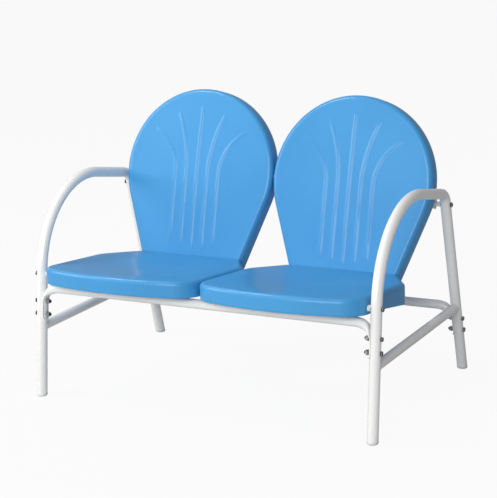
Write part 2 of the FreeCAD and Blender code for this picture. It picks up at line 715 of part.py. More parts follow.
def seat_clip(x):
    """Z-shaped bracket from the top of the front rail to the underside of a seat."""
    y = front_leg_y(FRONT_RAIL_HEIGHT)
    low = FRONT_RAIL_HEIGHT + RAIL_R
    foot_plate = Part.makeBox(CLIP_WIDTH, CLIP_FOOT, BRACKET_T,
                              V(x - CLIP_WIDTH / 2, y - CLIP_FOOT / 2, low))
    web = Part.makeBox(CLIP_WIDTH, BRACKET_T, SKIRT_FRONT_DEPTH * 2,
                       V(x - CLIP_WIDTH / 2, y + CLIP_FOOT / 2 - BRACKET_T, low))
    web_y = y + CLIP_FOOT / 2
    top = V(0, web_y, seat_top_z(web_y)) - SEAT_UP * (SHEET + BRACKET_T)
    ceiling = half_space(V(0, web_y, seat_top_z(web_y)) - SEAT_UP * SHEET, SEAT_UP)
    web = web.cut(ceiling)
    flange = Part.makeBox(CLIP_WIDTH, CLIP_FOOT, BRACKET_T, V(0, -CLIP_FOOT, 0))
    flange.Placement = FreeCAD.Placement(V(x - CLIP_WIDTH / 2, top.y, top.z),
                                         FreeCAD.Rotation(X_AXIS, -SEAT_TILT))
    clip = foot_plate.fuse([web, flange.cut(ceiling)]).removeSplitter()
    clip = clip.cut(moved(dish(SHEET), math.copysign(SEAT_X, x)))
    return bore(clip, V(x, y, low), Z_AXIS * 2 * BRACKET_T, RAIL_SCREW_D + 2 * THREAD_FIT)


# ---------------------------------------------------------------- fasteners
def both_sides(shapes):
    """The shapes and their mirror copies, as one group."""
    return Part.makeCompound(shapes + [mirror(s) for s in shapes])


def inward(point, x):
    """The point moved along the bench to the given x."""
    return V(x, point.y, point.z)


def tang_fasteners(points):
    """Bolts, washers and nuts of one rail, at both legs."""
    flat = INNER_X - TANG_THICKNESS
    grip = OUTER_X - flat + WASHER_T
    bolts = [hex_bolt(inward(p, OUTER_X), -X_AXIS, grip) for p in points]
    washers = [washer(inward(p, flat), -X_AXIS) for p in points]
    nuts = [hex_nut(inward(p, flat - WASHER_T), -X_AXIS) for p in points]
    return both_sides(bolts), both_sides(washers), both_sides(nuts)


def seat_side_fasteners():
    """Bolt, spacer, washer and nut from each front leg to the side of its seat."""
    point = seat_side_point()
    wall = SEAT_X + seat_wall_x(point.y + SEAT_SPACER_OD / 2, 0)
    spacer = ring(inward(point, wall), X_AXIS, INNER_X - wall, SEAT_SPACER_OD, BOLT_HOLE)
    inside = SEAT_X + seat_wall_x(point.y - WASHER_OD * BOLT_D / 2, SHEET) - WASHER_GAP
    bolt = hex_bolt(inward(point, OUTER_X), -X_AXIS, OUTER_X - inside + WASHER_T)
    flat = washer(inward(point, inside), -X_AXIS)
    nut = hex_nut(inward(point, inside - WASHER_T), -X_AXIS)
    return [both_sides([s]) for s in (bolt, spacer, flat, nut)]


def back_side_fasteners():
    """Bolt, spacer, washer and nut from each rear leg to the bracket of its back."""
    point = back_side_point()
    face = back_bracket_x()
    spacer = ring(inward(point, face), X_AXIS, INNER_X - face, BACK_SPACER_OD, BOLT_HOLE)
    inside = face - BRACKET_T
    bolt = hex_bolt(inward(point, OUTER_X), -X_AXIS, OUTER_X - inside + WASHER_T)
    flat = washer(inward(point, inside), -X_AXIS)
    nut = hex_nut(inward(point, inside - WASHER_T), -X_AXIS)
    return [both_sides([s]) for s in (bolt, spacer, flat, nut)]


def joint_fasteners(points, wall):
    """Bolts, spacers and nuts that join two shells whose walls stand at +wall and -wall."""
    inside = wall + SHEET + WASHER_GAP
    bolts = [hex_bolt(inward(p, inside + WASHER_T), -X_AXIS, 2 * (inside + WASHER_T))
             for p in points]
    spacers = [ring(inward(p, -wall), X_AXIS, 2 * wall, WASHER_OD * BOLT_D, BOLT_HOLE)
               for p in points]
    washers = [washer(inward(p, side * inside), X_AXIS * side) for p in points
               for side in (1, -1)]
    nuts = [hex_nut(inward(p, -inside - WASHER_T), -X_AXIS) for p in points]
    return [Part.makeCompound(group) for group in (bolts, spacers, washers, nuts)]


def seat_back_fasteners():
    """Bolts, washers and nuts that hold each back to the rear wall of its seat."""
    bolts, washers, nuts = [], [], []
    for side in (-1, 1):
        for x in seat_back_bolt_x():
            at = side * SEAT_X + x
            rear = back_point(at, -SEAT_BACK_BOLT_DROP, SHEET)
            front = back_point(at, -SEAT_BACK_BOLT_DROP, -SHEET)
            washers.append(washer(rear, BACK_OUT))
            washers.append(washer(front, BACK_OUT * -1))
            bolts.append(hex_bolt(rear + BACK_OUT * WASHER_T, BACK_OUT * -1,
                                  2 * (SHEET + WASHER_T)))
            nuts.append(hex_nut(front - BACK_OUT * WASHER_T, BACK_OUT * -1))
    return [Part.makeCompound(group) for group in (bolts, washers, nuts)]


def clip_screws():
    """Thread-forming screws down through the seat brackets into the top of the front rail."""
    top = rail_axis(FRONT_RAIL_HEIGHT, front_leg_y) + Z_AXIS * (RAIL_R + BRACKET_T)
    return Part.makeCompound([hex_screw(top + X_AXIS * x, -Z_AXIS, RAIL_SCREW_LENGTH,
                                        RAIL_SCREW_D) for x in clip_places()])


# ---------------------------------------------------------------- nodes
def pair(name, right):
    """A right-hand piece and its mirror image, each under its own node name."""
    return {"right_" + name: right, "left_" + name: mirror(right)}


def nodes():
    """Every node of the bench by name."""
    parts = {}
    parts.update(pair("arm_frame", side_frame()))
    parts.update(pair("side_stretcher", side_stretcher()))
    parts.update(pair("front_foot", foot(FRONT_FOOT_Y, math.tan(FRONT_LEAN))))
    parts.update(pair("rear_foot", foot(REAR_FOOT_Y, -math.tan(REAR_LEAN))))
    parts["front_rail"] = front_rail()
    parts["rear_rail"] = rear_rail()
    parts.update(pair("seat_shell", right_seat()))
    parts.update(pair("back_shell", right_back()))
    parts.update(pair("back_bracket", back_bracket()))
    for name, x in zip(("left_seat_outer_clip", "left_seat_inner_clip",
                        "right_seat_inner_clip", "right_seat_outer_clip"), clip_places()):
        parts[name] = seat_clip(x)

    def group(prefix, kinds, shapes):
        for kind, shape in zip(kinds, shapes):
            parts[prefix + "_" + kind] = shape

    with_washers = ("bolts", "washers", "nuts")
    with_spacers = ("bolts", "spacers", "washers", "nuts")
    group("front_rail", with_washers, tang_fasteners(front_tang_bolts()))
    group("rear_rail", with_washers, tang_fasteners(rear_tang_bolts()))
    group("seat_side", with_spacers, seat_side_fasteners())
    group("back_side", with_spacers, back_side_fasteners())
    group("seat_joint", with_spacers, joint_fasteners(seat_joint_points(), SEAT_GAP / 2))
    group("back_joint", with_spacers, joint_fasteners([back_joint_point()], BACK_GAP / 2))
    group("seat_back", with_washers, seat_back_fasteners())
    parts["seat_clip_screws"] = clip_screws()
    return parts


os.makedirs("parts", exist_ok=True)
for node, solid in nodes().items():
    box = solid.BoundBox
    print(f"{node:24s} solids {len(solid.Solids)} valid {solid.isValid()} "
          f"volume {solid.Volume:11.1f} x {box.XMin:7.1f} {box.XMax:7.1f} "
          f"y {box.YMin:7.1f} {box.YMax:7.1f} z {box.ZMin:6.1f} {box.ZMax:6.1f}")
    solid.exportStep(os.path.join("parts", node + ".step"))
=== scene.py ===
# %% [markdown]
# # A two-seat loveseat of pressed steel and bent tube
#
# The bench has two bent tubes for arms and legs, two cross rails, and two chairs' worth of
# pressed sheet steel hung between them. Each chair is a seat pan and a fluted round back.
# This lesson dresses the fixed engineering frame: it reads the frame's sizes, builds each
# visible piece again with the softness that presses and tube benders leave, and coats it.
# Lengths are written in millimetres and turned into Blender's metres with MM.

# %% Load the fixed frame
import json
import math
import bmesh
import bpy
import numpy as np
from mathutils import Matrix, Vector


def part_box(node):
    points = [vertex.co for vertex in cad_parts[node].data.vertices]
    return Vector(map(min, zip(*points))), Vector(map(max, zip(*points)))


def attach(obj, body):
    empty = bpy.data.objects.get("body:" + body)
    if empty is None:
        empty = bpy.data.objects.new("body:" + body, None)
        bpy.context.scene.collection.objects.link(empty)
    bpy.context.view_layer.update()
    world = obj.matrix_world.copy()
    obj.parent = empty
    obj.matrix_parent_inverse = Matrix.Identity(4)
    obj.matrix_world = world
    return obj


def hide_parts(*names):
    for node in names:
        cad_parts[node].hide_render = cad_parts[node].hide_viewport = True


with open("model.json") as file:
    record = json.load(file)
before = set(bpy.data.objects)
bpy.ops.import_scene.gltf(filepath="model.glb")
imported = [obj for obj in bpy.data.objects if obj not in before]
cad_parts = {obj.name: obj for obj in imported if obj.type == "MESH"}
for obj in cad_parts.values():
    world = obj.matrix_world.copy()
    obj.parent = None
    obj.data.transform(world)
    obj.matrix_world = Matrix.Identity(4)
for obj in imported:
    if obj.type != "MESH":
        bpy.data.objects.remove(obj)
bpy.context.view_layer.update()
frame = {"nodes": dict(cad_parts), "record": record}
MM = 0.001

# %% [markdown]
# ## The sizes that the pieces share
#
# The frame gives each node's box, and most places can be read from those boxes: how far the
# seats reach forward, where the tubes stand, how high they go. The few sizes that a box
# can't show, such as bend radii and slopes, are the maker's own and are written here once.

# %% Read places from the frame and note the maker's sizes
seat_lo, seat_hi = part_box("right_seat_shell")
back_lo, back_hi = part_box("right_back_shell")
arm_lo, arm_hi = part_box("right_arm_frame")
joint_lo, joint_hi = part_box("seat_joint_spacers")
back_joint_lo, back_joint_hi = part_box("back_joint_spacers")

TUBE_R = (arm_hi.x - arm_lo.x) / 2
SIDE_X = (arm_hi.x + arm_lo.x) / 2
SEAT_X = (seat_lo.x + seat_hi.x) / 2
SEAT_HALF = (seat_hi.x - seat_lo.x) / 2
BACK_RADIUS = (back_hi.x - back_lo.x) / 2
SEAT_FRONT_Y = seat_lo.y
RAIL_R = 14 * MM
SHEET = 1.6 * MM

SEAT_DEPTH = 499 * MM
SEAT_FRONT_Z = 415 * MM
FOOT_FRONT_Y = SEAT_FRONT_Y + 52 * MM
FOOT_REAR_Y = FOOT_FRONT_Y + 717 * MM
TILT = math.radians(6.05)
LEAN = math.radians(16)
MEET_Y = SEAT_FRONT_Y + SEAT_DEPTH
MEET_Z = SEAT_FRONT_Z - SEAT_DEPTH * math.tan(TILT)
ARM_END_Z = 589 * MM
KNEE = (FOOT_FRONT_Y + 79 * MM, 685 * MM)
HEEL = (MEET_Y + (ARM_END_Z - MEET_Z) * math.tan(LEAN) + 56 * MM, ARM_END_Z)
print("tube radius", round(TUBE_R, 4), "seat half width", round(SEAT_HALF, 4),
      "back radius", round(BACK_RADIUS, 4), "heel", [round(v, 3) for v in HEEL])


def front_leg_y(z):
    """Middle of the front leg at height z."""
    return FOOT_FRONT_Y + (KNEE[0] - FOOT_FRONT_Y) * z / KNEE[1]


def rear_leg_y(z):
    """Middle of the rear leg at height z."""
    return FOOT_REAR_Y - (FOOT_REAR_Y - HEEL[0]) * z / HEEL[1]


def seat_top_z(y):
    """Height of the seat's flat top at depth y."""
    return SEAT_FRONT_Z - (y - SEAT_FRONT_Y) * math.tan(TILT)


# %% [markdown]
# ## Camera
#
# The view is a little above the seats and from the right, through a long lens, so that
# the two sides stay nearly parallel. A camera looks along its own -Z, so its rotation matrix
# is made from three directions: right, up and backwards. A slight roll tips the horizon.

# %% Place the camera
CAMERA_PLACE = (2.207, -4.15875, 1.599)
FOCAL_LENGTH, SENSOR_WIDTH = 115.6, 36
VIEW_TURN, VIEW_PITCH, VIEW_ROLL = (math.radians(a) for a in (27.91, 13.97, 2.07))
look = Vector((-math.sin(VIEW_TURN) * math.cos(VIEW_PITCH),
               math.cos(VIEW_TURN) * math.cos(VIEW_PITCH), -math.sin(VIEW_PITCH)))
level = Vector((math.cos(VIEW_TURN), math.sin(VIEW_TURN), 0))
down = look.cross(level)
across = level * math.cos(VIEW_ROLL) + down * math.sin(VIEW_ROLL)
down = down * math.cos(VIEW_ROLL) - level * math.sin(VIEW_ROLL)
camera = bpy.data.objects.new("camera", bpy.data.cameras.new("camera"))
bpy.context.scene.collection.objects.link(camera)
camera.data.lens = FOCAL_LENGTH
camera.data.sensor_width = SENSOR_WIDTH
camera.matrix_world = Matrix.Translation(CAMERA_PLACE) @ Matrix(
    (across, -down, -look)).transposed().to_4x4()
bpy.context.scene.camera = camera
print("camera at", [round(v, 2) for v in camera.matrix_world.translation])

# %% [markdown]
# ## Floor and light
#
# A pale floor that runs far behind the bench reads as a studio sweep. Three soft lamps do
# the work: a broad one from the front left gives the form, one overhead draws the bright line
# along the rolled seat fronts, and a large one in front fills the tubes under the seats. The
# world is white where the camera sees it and dim where it lights, so sides that face away
# from the lamps stay deep.

# %% Make the floor, the lamps and the world
def add_node(tree, kind, inputs=None, **settings):
    """A new node with its settings; each input is linked to a socket or set to a value."""
    node = tree.nodes.new(kind)
    for name, value in settings.items():
        setattr(node, name, value)
    for label, value in (inputs or {}).items():
        if isinstance(value, bpy.types.NodeSocket):
            tree.links.new(value, node.inputs[label])
        else:
            node.inputs[label].default_value = value
    return node


def new_material(name):
    """A material's node tree with its Principled shader and its output."""
    material = bpy.data.materials.new(name)
    material.use_nodes = True
    tree = material.node_tree
    tree.nodes.clear()
    shader = add_node(tree, "ShaderNodeBsdfPrincipled")
    output = add_node(tree, "ShaderNodeOutputMaterial", {"Surface": shader.outputs["BSDF"]})
    return material, tree, shader, output


def make_floor():
    """A large flat floor with a pale, nearly even finish."""
    mesh = bpy.data.meshes.new("floor")
    corners = [(x * FLOOR_HALF, y * FLOOR_HALF, 0) for x, y in ((-1, -1), (1, -1), (1, 1), (-1, 1))]
    mesh.from_pydata(corners, [], [(0, 1, 2, 3)])
    floor = bpy.data.objects.new("floor", mesh)
    bpy.context.scene.collection.objects.link(floor)
    material, tree, shader, output = new_material("floor_paint")
    shader.inputs["Base Color"].default_value = (0.55, 0.55, 0.55, 1)
    shader.inputs["Roughness"].default_value = 0.9
    glow = add_node(tree, "ShaderNodeEmission", {"Color": (1, 1, 1, 1)})
    seen = add_node(tree, "ShaderNodeLightPath")
    share = add_node(tree, "ShaderNodeMath", {0: seen.outputs["Is Camera Ray"], 1: FLOOR_LIFT},
                     operation="MULTIPLY")
    mix = add_node(tree, "ShaderNodeMixShader", {"Fac": share.outputs[0], 1: shader.outputs["BSDF"],
                                                 2: glow.outputs["Emission"]})
    tree.links.new(mix.outputs["Shader"], output.inputs["Surface"])
    mesh.materials.append(material)


def softbox(name, place, target, size, power):
    """A square area lamp that faces its target."""
    lamp = bpy.data.lights.new(name, "AREA")
    lamp.energy = power
    lamp.size = size
    thing = bpy.data.objects.new(name, lamp)
    thing.location = place
    thing.rotation_euler = (Vector(target) - Vector(place)).to_track_quat("-Z", "Y").to_euler()
    bpy.context.scene.collection.objects.link(thing)


def make_world(seen, lit):
    """A world with one colour and strength for the camera and another as a lamp."""
    world = bpy.data.worlds.new("studio")
    world.use_nodes = True
    tree = world.node_tree
    tree.nodes.clear()
    fields = [add_node(tree, "ShaderNodeBackground", {"Color": (*colour, 1), "Strength": strength})
              for colour, strength in (lit, seen)]
    path = add_node(tree, "ShaderNodeLightPath")
    mix = add_node(tree, "ShaderNodeMixShader", {
        "Fac": path.outputs["Is Camera Ray"], 1: fields[0].outputs[0], 2: fields[1].outputs[0]})
    add_node(tree, "ShaderNodeOutputWorld", {"Surface": mix.outputs[0]})
    bpy.context.scene.world = world


FLOOR_HALF, FLOOR_LIFT = 14.0, 0.93
make_floor()
softbox("key", (-4.0, -2.4, 2.4), (0, 0, 0.5), 2.2, 84)
softbox("overhead", (-1.6, -0.6, 3.3), (0, -0.2, 0.4), 1.0, 42)
softbox("front", (0.8, -4.6, 2.0), (0, 0, 0.45), 2.4, 128)
make_world(seen=((1, 1, 1), 1.0), lit=((0.96, 0.95, 1), 0.36))
bpy.context.scene.view_settings.view_transform = "Standard"

# %% [markdown]
# ## Effects that several finishes share
#
# Powder coat melts and flows as it cures, which leaves a very shallow orange peel, and no
# large panel is exactly one tone. Anything handled gathers faint dust and rubs bright where
# it is proud. These effects serve many finishes, so each is a shader node group with named
# sockets: it is built once and placed in every material with its own numbers.

# %% Build the shared shader groups
def new_group(name, inputs, outputs):
    """A shader node group with float or vector inputs and outputs."""
    group = bpy.data.node_groups.new(name, "ShaderNodeTree")
    kinds = {"float": "NodeSocketFloat", "vector": "NodeSocketVector"}
    for label, kind, value in inputs:
        socket = group.interface.new_socket(label, in_out="INPUT", socket_type=kinds[kind])
        socket.default_value = value
    for label, kind in outputs:
        group.interface.new_socket(label, in_out="OUTPUT", socket_type=kinds[kind])
    return (group, group.nodes.new("NodeGroupInput"), group.nodes.new("NodeGroupOutput"))


def noise(tree, vector, scale, detail, roughness=0.5):
    """A noise texture that reads the given vector socket."""
    return add_node(tree, "ShaderNodeTexNoise", {
        "Vector": vector, "Scale": scale, "Detail": detail, "Roughness": roughness}).outputs["Fac"]


def maths(tree, operation, a, b):
    """A maths node whose inputs are sockets or numbers."""
    return add_node(tree, "ShaderNodeMath", {0: a, 1: b}, operation=operation).outputs[0]


def plus(tree, a, b):
    """Sum of two sockets or numbers."""
    return maths(tree, "ADD", a, b)


def times(tree, a, b):
    """Product of two sockets or numbers."""
    return maths(tree, "MULTIPLY", a, b)


def remap(tree, value, low, high, to_low, to_high):
    """A clamped map range node."""
    return add_node(tree, "ShaderNodeMapRange", {
        "Value": value, "From Min": low, "From Max": high, "To Min": to_low,
        "To Max": to_high}).outputs["Result"]


def coat_group():
    """Orange peel height and a slow drift of tone for a powder coat."""
    group, start, end = new_group(
        "powder_coat", [("Vector", "vector", (0, 0, 0)), ("Peel", "float", 420.0),
                        ("Drift", "float", 3.0)],
        [("Height", "float"), ("Tone", "float"), ("Nibs", "float")])
    vector = start.outputs["Vector"]
    peel = noise(group, vector, start.outputs["Peel"], 2.0, 0.45)
    waves = noise(group, vector, 46.0, 1.0)
    height = plus(group, times(group, peel, 0.5), times(group, waves, 0.9))
    tone = noise(group, vector, start.outputs["Drift"], 3.0)
    cells = add_node(group, "ShaderNodeTexVoronoi", {"Scale": 120.0, "Vector": vector})
    nibs = times(group, remap(group, cells.outputs["Distance"], 0.0, 0.10, 1.0, 0.0),
                 remap(group, noise(group, vector, 31.0, 1.0), 0.66, 0.70, 0.0, 1.0))
    for label, socket in (("Height", height), ("Tone", tone), ("Nibs", nibs)):
        group.links.new(socket, end.inputs[label])
    return group


def wear_group():
    """Where a proud edge has rubbed, and where dust has settled on what faces up."""
    group, start, end = new_group(
        "rub_and_dust", [("Vector", "vector", (0, 0, 0)), ("Edge", "float", 0.0),
                         ("Amount", "float", 0.5)],
        [("Rub", "float"), ("Dust", "float")])
    vector = start.outputs["Vector"]
    broken = noise(group, vector, 90.0, 6.0, 0.65)
    rub = times(group, start.outputs["Edge"], start.outputs["Amount"])
    rub = plus(group, rub, maths(group, "SUBTRACT", broken, 1.0))
    rub = remap(group, rub, 0.0, 0.14, 0.0, 1.0)
    shape = add_node(group, "ShaderNodeNewGeometry")
    split = add_node(group, "ShaderNodeSeparateXYZ", {0: shape.outputs["Normal"]})
    dust = times(group, remap(group, split.outputs["Z"], 0.5, 1.0, 0.0, 1.0),
                 remap(group, noise(group, vector, 14.0, 5.0, 0.6), 0.42, 0.75, 0.0, 1.0))
    group.links.new(rub, end.inputs["Rub"])
    group.links.new(dust, end.inputs["Dust"])
    return group


COAT = coat_group()
WEAR = wear_group()
print("groups:", COAT.name, WEAR.name)

# %% [markdown]
# ## Finishes
#
# Three families cover the whole bench. *Enamel* is powder coat over steel: sky blue on the
# pressings and off-white on the tubes. *Plating* is zinc, dark on the bolt heads and bright
# on nuts and washers. *Moulding* is plastic, for feet and spacers. Each reads Object
# coordinates, so its grain keeps its true size on every piece, and reads the piece's own
# "edge" attribute, which the mesh code paints where metal is folded or rubbed.

# %% Make the finishes
DUST = (0.62, 0.60, 0.56)
BARE_STEEL = (0.50, 0.50, 0.49)


def placed(tree, group, vector, **values):
    """One use of a shared group, with its numbers or sockets set."""
    return add_node(tree, "ShaderNodeGroup", {"Vector": vector, **values}, node_tree=group)


def blend_colour(tree, factor, a, b):
    """Mix of two colours, each a socket or a plain colour."""
    a, b = ((*c, 1) if isinstance(c, tuple) else c for c in (a, b))
    return add_node(tree, "ShaderNodeMix", {0: factor, 6: a, 7: b}, data_type="RGBA").outputs[2]


def bumped(tree, shader, height, distance):
    """Feeds a height to the shader's normal."""
    bump = add_node(tree, "ShaderNodeBump", {"Distance": distance, "Height": height})
    tree.links.new(bump.outputs["Normal"], shader.inputs["Normal"])


def object_vector(tree):
    """The Object coordinates socket."""
    return add_node(tree, "ShaderNodeTexCoord").outputs["Object"]


def edge_mask(tree):
    """The piece's own edge attribute, which is nothing where the piece has none."""
    return add_node(tree, "ShaderNodeAttribute", attribute_name="edge").outputs["Fac"]


def enamel(name, light, deep, rubbed, roughness, peel, coat):
    """Powder coat: two close tones, orange peel, thin rubbed edges and a little dust."""
    material, tree, shader, _ = new_material(name)
    vector = object_vector(tree)
    film = placed(tree, COAT, vector, Peel=peel, Drift=2.6)
    worn = placed(tree, WEAR, vector, Edge=edge_mask(tree), Amount=0.62)
    tone = remap(tree, film.outputs["Tone"], 0.35, 0.65, 0.0, 1.0)
    colour = blend_colour(tree, tone, deep, light)
    colour = blend_colour(tree, worn.outputs["Rub"], colour, rubbed)
    colour = blend_colour(tree, times(tree, worn.outputs["Dust"], 0.045), colour, DUST)
    tree.links.new(colour, shader.inputs["Base Color"])
    rough = plus(tree, remap(tree, film.outputs["Tone"], 0.3, 0.7, roughness - 0.03,
                             roughness + 0.04), times(tree, worn.outputs["Dust"], 0.10))
    tree.links.new(plus(tree, rough, times(tree, worn.outputs["Rub"], 0.15)),
                   shader.inputs["Roughness"])
    shader.inputs["Coat Weight"].default_value = coat
    shader.inputs["Coat Roughness"].default_value = 0.16
    shader.inputs["Specular IOR Level"].default_value = 0.36
    height = plus(tree, film.outputs["Height"], times(tree, film.outputs["Nibs"], 0.6))
    height = maths(tree, "SUBTRACT", height, times(tree, worn.outputs["Rub"], 0.5))
    bumped(tree, shader, height, 0.16 * MM)
    return material


def plating(name, colour, bloom, roughness, metallic):
    """Zinc plate: metal with a cloudy bloom, fine scratches and rubbed corners."""
    material, tree, shader, _ = new_material(name)
    vector = object_vector(tree)
    clouds = remap(tree, noise(tree, vector, 160.0, 5.0, 0.6), 0.35, 0.7, 0.0, 1.0)
    worn = placed(tree, WEAR, vector, Edge=edge_mask(tree), Amount=0.8)
    mixed = blend_colour(tree, clouds, colour, bloom)
    mixed = blend_colour(tree, worn.outputs["Rub"], mixed, BARE_STEEL)
    tree.links.new(mixed, shader.inputs["Base Color"])
    tree.links.new(remap(tree, clouds, 0.0, 1.0, roughness, roughness + 0.16),
                   shader.inputs["Roughness"])
    shader.inputs["Metallic"].default_value = metallic
    bumped(tree, shader, noise(tree, vector, 1400.0, 3.0, 0.7), 0.04 * MM)
    return material


def moulding(name, colour, scuffed, roughness):
    """Moulded plastic: fine spark texture, scuffs and grime low down."""
    material, tree, shader, _ = new_material(name)
    vector = object_vector(tree)
    worn = placed(tree, WEAR, vector, Edge=edge_mask(tree), Amount=0.7)
    patches = remap(tree, noise(tree, vector, 60.0, 4.0, 0.6), 0.4, 0.75, 0.0, 0.5)
    mixed = blend_colour(tree, maths(tree, "MAXIMUM", patches, worn.outputs["Rub"]), colour,
                         scuffed)
    tree.links.new(mixed, shader.inputs["Base Color"])
    tree.links.new(remap(tree, patches, 0.0, 0.5, roughness, roughness + 0.12),
                   shader.inputs["Roughness"])
    bumped(tree, shader, noise(tree, vector, 1100.0, 2.0), 0.08 * MM)
    return material


FINISH = {
    "shell_enamel": enamel("shell_enamel", (0.052, 0.315, 0.635), (0.044, 0.285, 0.595),
                           (0.020, 0.16, 0.40), 0.46, 430.0, 0.30),
    "tube_enamel": enamel("tube_enamel", (0.860, 0.865, 0.840), (0.820, 0.825, 0.800),
                          (0.56, 0.55, 0.53), 0.32, 520.0, 0.30),
    "bracket_enamel": enamel("bracket_enamel", (0.790, 0.805, 0.800), (0.730, 0.745, 0.740),
                             (0.50, 0.49, 0.47), 0.34, 520.0, 0.25),
    "foot_plastic": moulding("foot_plastic", (0.74, 0.75, 0.74), (0.42, 0.41, 0.39), 0.46),
    "spacer_nylon": moulding("spacer_nylon", (0.84, 0.85, 0.84), (0.70, 0.70, 0.67), 0.38),
    "black_zinc": plating("black_zinc", (0.030, 0.030, 0.034), (0.075, 0.075, 0.08), 0.34, 0.75),
    "bright_zinc": plating("bright_zinc", (0.52, 0.53, 0.54), (0.36, 0.37, 0.37), 0.28, 0.95),
}
print("finishes:", sorted(FINISH))

# %% [markdown]
# ## Turning arrays of points into pieces
#
# Every piece below starts as rows of points. One helper makes the mesh, merges doubled
# points, turns its faces outwards, shades it smooth and gives it a finish; a second one marks
# it as part of the object: it rides on the single body and stands for its frame nodes.

# %% Make helpers for meshes and pieces
def quads(rows, columns, closed):
    """Faces of a grid of points, with the last column joined to the first if closed."""
    last = columns if closed else columns - 1
    i, j = np.meshgrid(np.arange(rows - 1), np.arange(last), indexing="ij")
    a = i * columns + j
    b = i * columns + (j + 1) % columns
    return np.stack([a, b, b + columns, a + columns], axis=-1).reshape(-1, 4)


def finish_mesh(mesh, merge=0.00001, sharp=None):
    """Merges doubled points, turns the faces outwards and shades them smooth."""
    work = bmesh.new()
    work.from_mesh(mesh)
    bmesh.ops.remove_doubles(work, verts=work.verts, dist=merge)
    bmesh.ops.recalc_face_normals(work, faces=work.faces)
    for face in work.faces:
        face.smooth = True
    if sharp is not None:
        for edge in work.edges:
            if len(edge.link_faces) == 2 and edge.calc_face_angle(0) > sharp:
                edge.smooth = False
    work.to_mesh(mesh)
    work.free()
    return mesh


def paint_edge(mesh, mask):
    """Stores how far each point is rubbed, from 0 to 1."""
    mesh.attributes.new("edge", "FLOAT", "POINT").data.foreach_set("value", mask)


def ring_mesh(name, rings, caps=()):
    """Mesh through closed rings of points, each joined to the next, with any end caps."""
    rings = np.array(rings)
    count, sides = rings.shape[:2]
    mesh = bpy.data.meshes.new(name)
    mesh.from_pydata(rings.reshape(-1, 3).tolist(), [], quads(count, sides, True).tolist() + list(caps))
    return mesh


def new_piece(name, mesh, slot, *nodes):
    """An object in the scene with its finish, riding on the body in place of its nodes."""
    piece = bpy.data.objects.new(name, mesh)
    bpy.context.scene.collection.objects.link(piece)
    mesh.materials.clear()
    mesh.materials.append(FINISH[slot])
    if nodes:
        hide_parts(*nodes)
    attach(piece, "root")
    print(f"{name}: {len(mesh.polygons)} faces")
    return piece


def mirrored(mesh):
    """The same mesh for the other side of the bench, with its faces turned back outwards."""
    other = mesh.copy()
    other.transform(Matrix.Diagonal((-1, 1, 1, 1)))
    other.flip_normals()
    return other


# %% [markdown]
# ## Pressed shells
#
# A seat or back starts as a flat blank. The press draws its face, rolls the edge over a
# radius, and turns the wall and a narrow safety curl inwards. A square grid bent into the
# blank's outline gives even small faces for the face of the pressing, without the crowded
# pole of a fan, and rings of points carry on over the edge. The inner skin is the same
# surface moved in by the sheet's thickness along its own normals.

# %% Bend a square grid into an outline
OUTLINE_STEP = 2 * MM
SHARP = 0.001 * MM


def outline_reader(points, centre):
    """For a closed outline: functions for its distance and outward normal by direction."""
    points = np.asarray(points)
    step = np.roll(points, -1, 0) - np.roll(points, 1, 0)
    normal = np.stack([step[:, 1], -step[:, 0]], 1)
    normal /= np.linalg.norm(normal, axis=1)[:, None]
    offset = points - centre
    if np.sum(normal * offset) < 0:
        normal = -normal
    angle = np.arctan2(offset[:, 1], offset[:, 0])
    order = np.argsort(angle)
    angle, reach = angle[order], np.linalg.norm(offset, axis=1)[order]
    normal = normal[order]

    def read(theta):
        wide = lambda column: np.interp(theta, angle, column, period=2 * math.pi)
        n = np.stack([wide(normal[:, 0]), wide(normal[:, 1])], -1)
        return wide(reach), n / np.linalg.norm(n, axis=-1)[..., None]

    return read


def blank_grid(outline, centre, count):
    """Grid points that fill an outline, and the indices and normals of its boundary."""
    side = np.linspace(-1, 1, count + 1)
    u, v = np.meshgrid(side, side, indexing="ij")
    x, y = u * np.sqrt(1 - v * v / 2), v * np.sqrt(1 - u * u / 2)
    read = outline_reader(outline, np.asarray(centre))
    theta = np.arctan2(y, x)
    reach, normal = read(theta)
    radius = np.sqrt(x * x + y * y)
    flat = np.stack([centre[0] + radius * reach * np.cos(theta),
                     centre[1] + radius * reach * np.sin(theta)], -1)
    index = np.arange((count + 1) ** 2).reshape(count + 1, count + 1)
    rim = np.concatenate([index[:-1, 0], index[-1, :-1], index[:0:-1, -1], index[0, :0:-1]])
    return flat.reshape(-1, 2), rim, normal.reshape(-1, 2)[rim]


